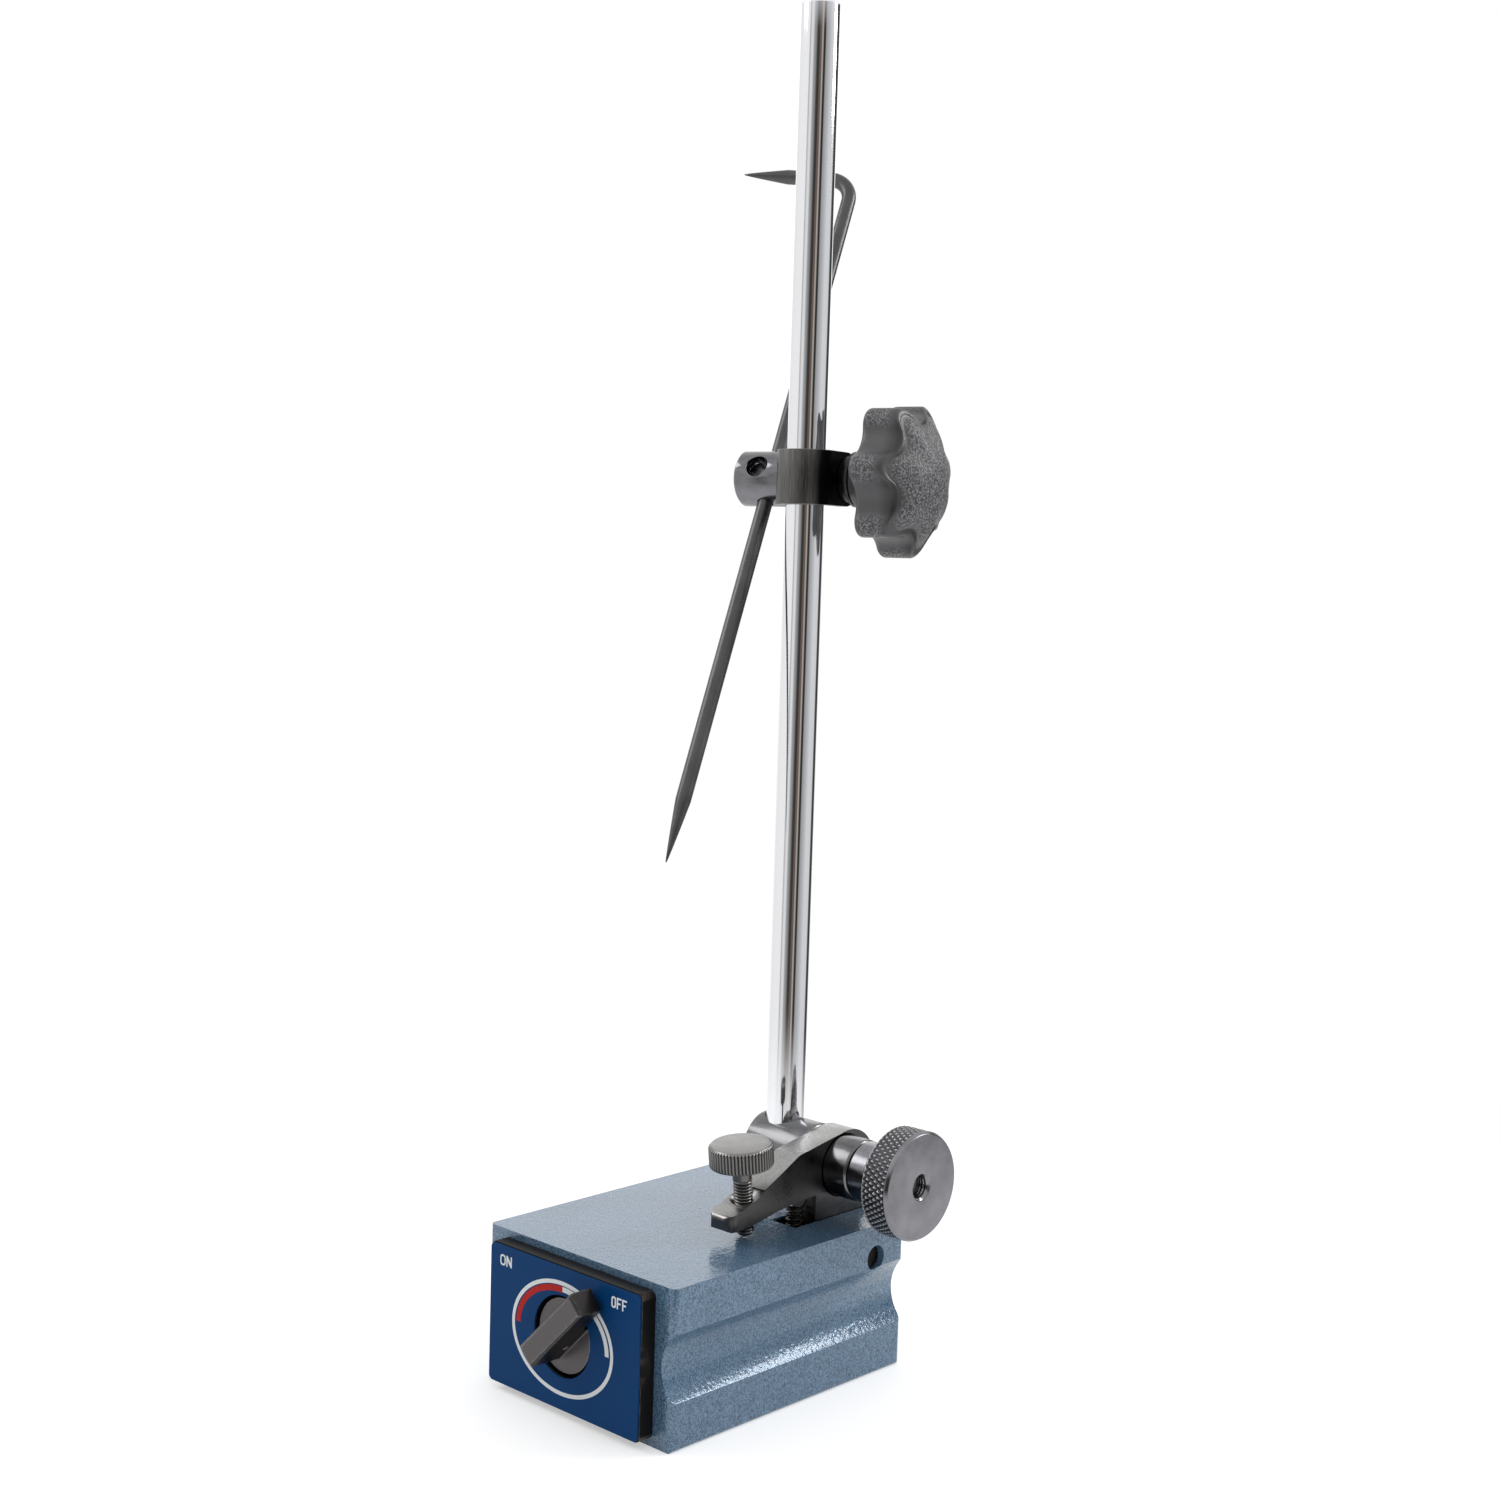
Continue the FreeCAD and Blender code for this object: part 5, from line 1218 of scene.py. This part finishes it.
def star(lobes):
    """The star knob on its own axis: a hub, a rounded back, round lobes and a dome, with its bush's well."""
    steps = lobes * 48
    angles = [FULL_TURN * step / steps for step in range(steps)]
    outline = np.array([star_outline(lobes, angle) for angle in angles])
    # Each row is a plain circle or the outline drawn in by an inset, with its height
    rows = [(0.0, None, STAR_WELL_DEPTH), (STAR_WELL, None, STAR_WELL_DEPTH), (STAR_WELL, None, 0.0),
            (STAR_HUB - 0.3, None, 0.0), (STAR_HUB, None, 0.3), (STAR_HUB, None, STAR_BACK)]
    for step in range(7):
        turn = math.pi / 2 * step / 6
        rows.append((None, STAR_ROUND * (1 - math.sin(turn)), STAR_BACK + STAR_ROUND * (1 - math.cos(turn))))
    first_side = len(rows) - 1
    low, high = STAR_BACK + STAR_ROUND, STAR_EDGE - STAR_FRONT_ROUND * 0.4
    for step in range(1, 5):
        rows.append((None, 0.0, low + (high - low) * step / 4))
    last_side = len(rows)
    for step in range(9):
        turn = math.pi / 2 * step / 8
        sunk = -STAR_FRONT_ROUND * 0.8 * (1 - math.sin(turn))
        rows.append((None, STAR_FRONT_ROUND * (1 - math.cos(turn)), sunk))
    edge_rows = len(rows)
    points, grained = [], []
    inner = 1 - STAR_FRONT_ROUND / STAR_RADIUS
    for number, (radius, inset, height) in enumerate(rows):
        for reach, angle in zip(outline, angles):
            r = radius if inset is None else reach - inset
            lift = star_front(reach - STAR_FRONT_ROUND, inner) if number >= last_side else 0.0
            points.append((r * math.cos(angle), r * math.sin(angle), height + lift))
            grained.append(0.0)
    rings = 16
    for ring in range(1, rings + 1):
        left = 1 - ring / rings
        for reach, angle in zip(outline, angles):
            r = (reach - STAR_FRONT_ROUND) * left
            points.append((r * math.cos(angle), r * math.sin(angle), star_front(r, inner * left)))
            grained.append(min(1.0, ring / 1.5))
    # The lobes' ends carry the grain too, and the valleys stay smooth
    for index, reach in enumerate(outline):
        tip = max(0.0, min(1.0, (reach - STAR_VALLEY - 1.2) / 1.4))
        for row in range(first_side, last_side):
            grained[row * steps + index] = tip
    count = edge_rows + rings
    faces = []
    for row in range(count - 1):
        for step in range(steps):
            nearby = (step + 1) % steps
            faces.append([row * steps + step, row * steps + nearby,
                          (row + 1) * steps + nearby, (row + 1) * steps + step])
    mesh = bpy.data.meshes.new("star")
    mesh.from_pydata([Vector(p) * MM for p in points], [], faces)
    # Where the material paints its dark reflection along the front rounding, weaker at the lobes' ends.
    painted_dark_rim = [(1 - 0.75 * min(1.0, max(0.0, (outline[number % steps] - STAR_VALLEY - 1.0) / 2)))
                * (last_side <= number // steps < edge_rows) for number in range(len(points))]
    store(mesh, "grained", grained)
    store(mesh, "painted_dark_rim", painted_dark_rim)
    work = bmesh.new()
    work.from_mesh(mesh)
    bmesh.ops.remove_doubles(work, verts=work.verts, dist=1e-7)
    work.to_mesh(mesh)
    work.free()
    return mesh


class SURFACE_GAUGE_OT_scriber(bpy.types.Operator):
    """Grind the double-pointed scriber"""

    bl_idname = "surface_gauge.scriber"
    bl_label = "Scriber"

    def execute(self, context):
        metals = context.scene.gauge_metals
        steel = black_steel("scriber_steel", metals, srgb(92, 92, 93), 0.34)
        place = holder_place(SCRIBER_ACROSS, HOLDER_STUD_BACK, (-SCRIBER_LEAN, "X"), (SCRIBER_ARM_TURN, "Z"))
        mesh = scriber()
        mesh.transform(place)
        show("scriber_ground", outward(mesh), "scriber", steel, "scriber_steel", "scriber")
        return {"FINISHED"}


def scriber():
    """A round rod with a long straight point and a bent one, on the clamp's own centre."""
    low, high, bend, arm = -108.4, 94.5, 7.0, 32.5
    long_point, short_point, radius, tip = 16.6, 13.0, 2.0, 0.15
    path = []

    def taper(share):
        return tip + (radius - tip) * share ** 0.88

    for step in range(13):
        share = step / 12
        path.append(((0.0, low + long_point * share), taper(share)))
    for step in range(1, 40):
        path.append(((0.0, low + long_point + (high - bend - low - long_point) * step / 40), radius))
    for step in range(17):
        angle = math.pi / 2 * step / 16
        path.append(((-bend + bend * math.cos(angle), high - bend + bend * math.sin(angle)), radius))
    end = -arm + short_point
    path.append(((end * 0.6 - bend * 0.4, high), radius))
    for step in range(13):
        share = 1 - step / 12
        path.append(((-arm + short_point * share, high), taper(share)))
    sides = 40
    points, faces = [], []
    for index, ((x, z), r) in enumerate(path):
        before = Vector(path[max(index - 1, 0)][0])
        after = Vector(path[min(index + 1, len(path) - 1)][0])
        way = (after - before).normalized()
        across = Vector((way.y, -way.x))
        for side in range(sides):
            angle = FULL_TURN * side / sides
            offset = across * r * math.cos(angle)
            points.append((x + offset.x, r * math.sin(angle), z + offset.y))
    for row in range(len(path) - 1):
        for side in range(sides):
            nearby = (side + 1) % sides
            faces.append([row * sides + side, row * sides + nearby,
                          (row + 1) * sides + nearby, (row + 1) * sides + side])
    faces.append(list(range(sides)))
    faces.append(list(range((len(path) - 1) * sides, len(path) * sides)))
    mesh = bpy.data.meshes.new("scriber")
    mesh.from_pydata([Vector(p) * MM for p in points], [], faces)
    return mesh


class SURFACE_GAUGE_OT_stage(bpy.types.Operator):
    """Set up the camera, the lamps, the pale floor and the world"""

    bl_idname = "surface_gauge.stage"
    bl_label = "Stage"

    def execute(self, context):
        stage = context.scene.gauge_stage
        add_camera(stage)
        add_lamp("key_lamp", (-0.85, -0.6, 0.95), 0.6, stage.key, mirrored=True)
        add_lamp("fill_lamp", (0.95, -0.1, 0.55), 0.8, stage.fill)
        add_lamp("rear_lamp", (0.515, 0.8, 0.68), 0.34, stage.rear, mirrored=True)
        add_lamp("screen", (-0.83, 0.94, 0.49), 0.9, stage.screen, mirrored=True, height=0.5)
        add_floor(stage)
        add_world(stage)
        context.scene.view_settings.view_transform = "Standard"
        return {"FINISHED"}


def add_camera(stage):
    """The camera from its place, its bearing and its roll."""
    data = bpy.data.cameras.new("camera")
    camera = bpy.data.objects.new("camera", data)
    bpy.context.scene.collection.objects.link(camera)
    level = math.cos(stage.pitch)
    back = Vector((math.sin(stage.yaw) * level, -math.cos(stage.yaw) * level, math.sin(stage.pitch)))
    right = Vector((0, 0, 1)).cross(back).normalized()
    up = back.cross(right)
    c, s = math.cos(stage.roll), math.sin(stage.roll)
    axes = Matrix((c * right + s * up, -s * right + c * up, back)).transposed()
    camera.matrix_world = Matrix.Translation(stage.place) @ axes.to_4x4()
    data.lens = stage.lens
    data.sensor_width = 36.0
    data.clip_start, data.clip_end = 0.01, 20.0
    bpy.context.scene.camera = camera


def add_lamp(name, place, size, power, mirrored=False, height=None):
    """An area lamp that looks at the gauge, seen in glossy faces only if it is mirrored."""
    data = bpy.data.lights.new(name, "AREA")
    data.shape = "RECTANGLE"
    data.size = size
    data.size_y = height or size
    data.energy = power
    lamp = bpy.data.objects.new(name, data)
    bpy.context.scene.collection.objects.link(lamp)
    lamp.location = place
    lamp.rotation_euler = (Vector((0, 0, 0.1)) - Vector(place)).to_track_quat("-Z", "Y").to_euler()
    lamp.visible_glossy = mirrored


def add_floor(stage):
    """A round pale floor that fades into the white behind it."""
    work = bmesh.new()
    bmesh.ops.create_circle(work, cap_ends=True, radius=stage.floor_radius, segments=96)
    mesh = bpy.data.meshes.new("floor")
    work.to_mesh(mesh)
    work.free()
    floor = bpy.data.objects.new("floor", mesh)
    floor.location = (0, 0, -0.02 * MM)
    bpy.context.scene.collection.objects.link(floor)
    material, desk, skin = new_material("floor")
    desk.feed(skin["Base Color"], (0.93, 0.93, 0.93))
    skin["Roughness"].default_value = 0.9
    path = desk.add("ShaderNodeLightPath").outputs
    seen = desk.maths("MAXIMUM", path["Is Glossy Ray"], path["Is Transmission Ray"])
    seen = desk.maths("MAXIMUM", path["Is Camera Ray"], seen)
    desk.feed(skin["Emission Color"], desk.mix(seen, (0.0, 0.0, 0.0), (stage.floor_white,) * 3))
    skin["Emission Strength"].default_value = 1.0
    place = desk.place()
    away = desk.add("ShaderNodeVectorMath", {0: place}, operation="LENGTH").outputs["Value"]
    shown = desk.ramp(away, stage.floor_radius * 0.25, stage.floor_radius * 0.98, 1.0, 0.0, "SMOOTHSTEP")
    below = desk.add("ShaderNodeNewGeometry").outputs["Backfacing"]
    desk.feed(skin["Alpha"], desk.maths("MULTIPLY", shown, desk.maths("SUBTRACT", 1.0, below)))
    mesh.materials.append(material)


# What stands round the gauge, as bright metal shows it: bearing in degrees, level and warmth
BOARDS = [(-180, 0.95, 0.0), (-150, 1.0, 0.01), (-112, 1.0, 0.01), (-105, 0.45, 0.03), (-99, 0.8, 0.0),
          (-88, 0.85, 0.0), (-80, 0.4, 0.0), (-68, 0.26, 0.02), (-61, 0.06, 0.1), (-50, 0.04, 0.1),
          (-45, 0.16, 0.22), (-37, 0.14, 0.22), (-33, 0.5, 0.12), (-28, 0.42, 0.12), (-24, 0.03, 0.0),
          (-15, 0.03, 0.0), (-10, 0.36, 0.0), (12, 0.55, -0.01), (30, 0.75, -0.01), (64, 0.72, -0.01),
          (71, 0.1, 0.0), (86, 0.03, 0.0), (98, 0.08, 0.0), (106, 0.6, 0.0),
          (112, 1.0, 0.0), (180, 0.95, 0.0)]


def add_world(stage):
    """White for the camera, an even light for rough surfaces and studio boards for glossy ones."""
    world = bpy.data.worlds.new("studio")
    bpy.context.scene.world = world
    world.use_nodes = True
    world.node_tree.nodes.clear()
    desk = Desk(world.node_tree)
    way = desk.add("ShaderNodeTexCoord").outputs["Generated"]
    apart = desk.add("ShaderNodeSeparateXYZ", {0: way}).outputs
    bearing = desk.maths("DIVIDE", desk.maths("ARCTAN2", apart[1], apart[0]), FULL_TURN)
    bearing = desk.maths("ADD", bearing, 0.5)
    boards = desk.add("ShaderNodeValToRGB", {0: bearing})
    ramp = boards.color_ramp
    while len(ramp.elements) < len(BOARDS):
        ramp.elements.new(0.5)
    for element, (degrees, level, warmth) in zip(ramp.elements, BOARDS):
        element.position = degrees / 360 + 0.5
        element.color = (level, level * (1 - warmth), level * (1 - 1.7 * warmth), 1.0)
    height = desk.maths("ABSOLUTE", apart[2])
    overhead = desk.ramp(height, 0.3, 0.5)
    seen = desk.mix(overhead, boards.outputs["Color"], (1.0, 1.0, 1.0))
    path = desk.add("ShaderNodeLightPath").outputs
    glossy = desk.maths("MAXIMUM", path["Is Glossy Ray"], path["Is Transmission Ray"])
    plain = desk.mix(glossy, (stage.ambient,) * 3, seen)
    colour = desk.mix(path["Is Camera Ray"], plain, (1.0, 1.0, 1.0))
    back = desk.add("ShaderNodeBackground", {"Color": colour, "Strength": 1.0})
    out = desk.add("ShaderNodeOutputWorld")
    desk.tree.links.new(back.outputs[0], out.inputs["Surface"])


class SURFACE_GAUGE_PT_panel(bpy.types.Panel):
    """Lists the gauge's settings and the operators that build it"""

    bl_idname = "SURFACE_GAUGE_PT_panel"
    bl_label = "Surface gauge"
    bl_space_type = "VIEW_3D"
    bl_region_type = "UI"
    bl_category = "Surface gauge"

    def draw(self, context):
        for name in SETTINGS:
            box = self.layout.box()
            group_settings = getattr(context.scene, name)
            for key in group_settings.bl_rna.properties.keys():
                if key not in {"rna_type", "name"}:
                    box.prop(group_settings, key)
        for operator in OPERATORS:
            self.layout.operator(operator.bl_idname)


SETTINGS = {
    "gauge_stage": StageSettings,
    "gauge_paint": PaintSettings,
    "gauge_dial": DialSettings,
    "gauge_grips": GripSettings,
    "gauge_metals": MetalSettings,
}

OPERATORS = [
    SURFACE_GAUGE_OT_base, SURFACE_GAUGE_OT_plate, SURFACE_GAUGE_OT_lever, SURFACE_GAUGE_OT_rocker,
    SURFACE_GAUGE_OT_fine_screw, SURFACE_GAUGE_OT_spindle_clamp, SURFACE_GAUGE_OT_clamp_knob,
    SURFACE_GAUGE_OT_spindle, SURFACE_GAUGE_OT_scriber_clamp, SURFACE_GAUGE_OT_star_knob,
    SURFACE_GAUGE_OT_scriber, SURFACE_GAUGE_OT_stage,
]


def register():
    for settings in SETTINGS.values():
        bpy.utils.register_class(settings)
    for name, settings in SETTINGS.items():
        setattr(bpy.types.Scene, name, PointerProperty(type=settings))
    for operator in OPERATORS:
        bpy.utils.register_class(operator)
    bpy.utils.register_class(SURFACE_GAUGE_PT_panel)


def unregister():
    bpy.utils.unregister_class(SURFACE_GAUGE_PT_panel)
    for operator in reversed(OPERATORS):
        bpy.utils.unregister_class(operator)
    for name in reversed(SETTINGS):
        delattr(bpy.types.Scene, name)
    for settings in reversed(SETTINGS.values()):
        bpy.utils.unregister_class(settings)


def main():
    register()
    for operator in OPERATORS:
        category, name = operator.bl_idname.split(".")
        getattr(getattr(bpy.ops, category), name)()


if __name__ == "__main__":
    main()
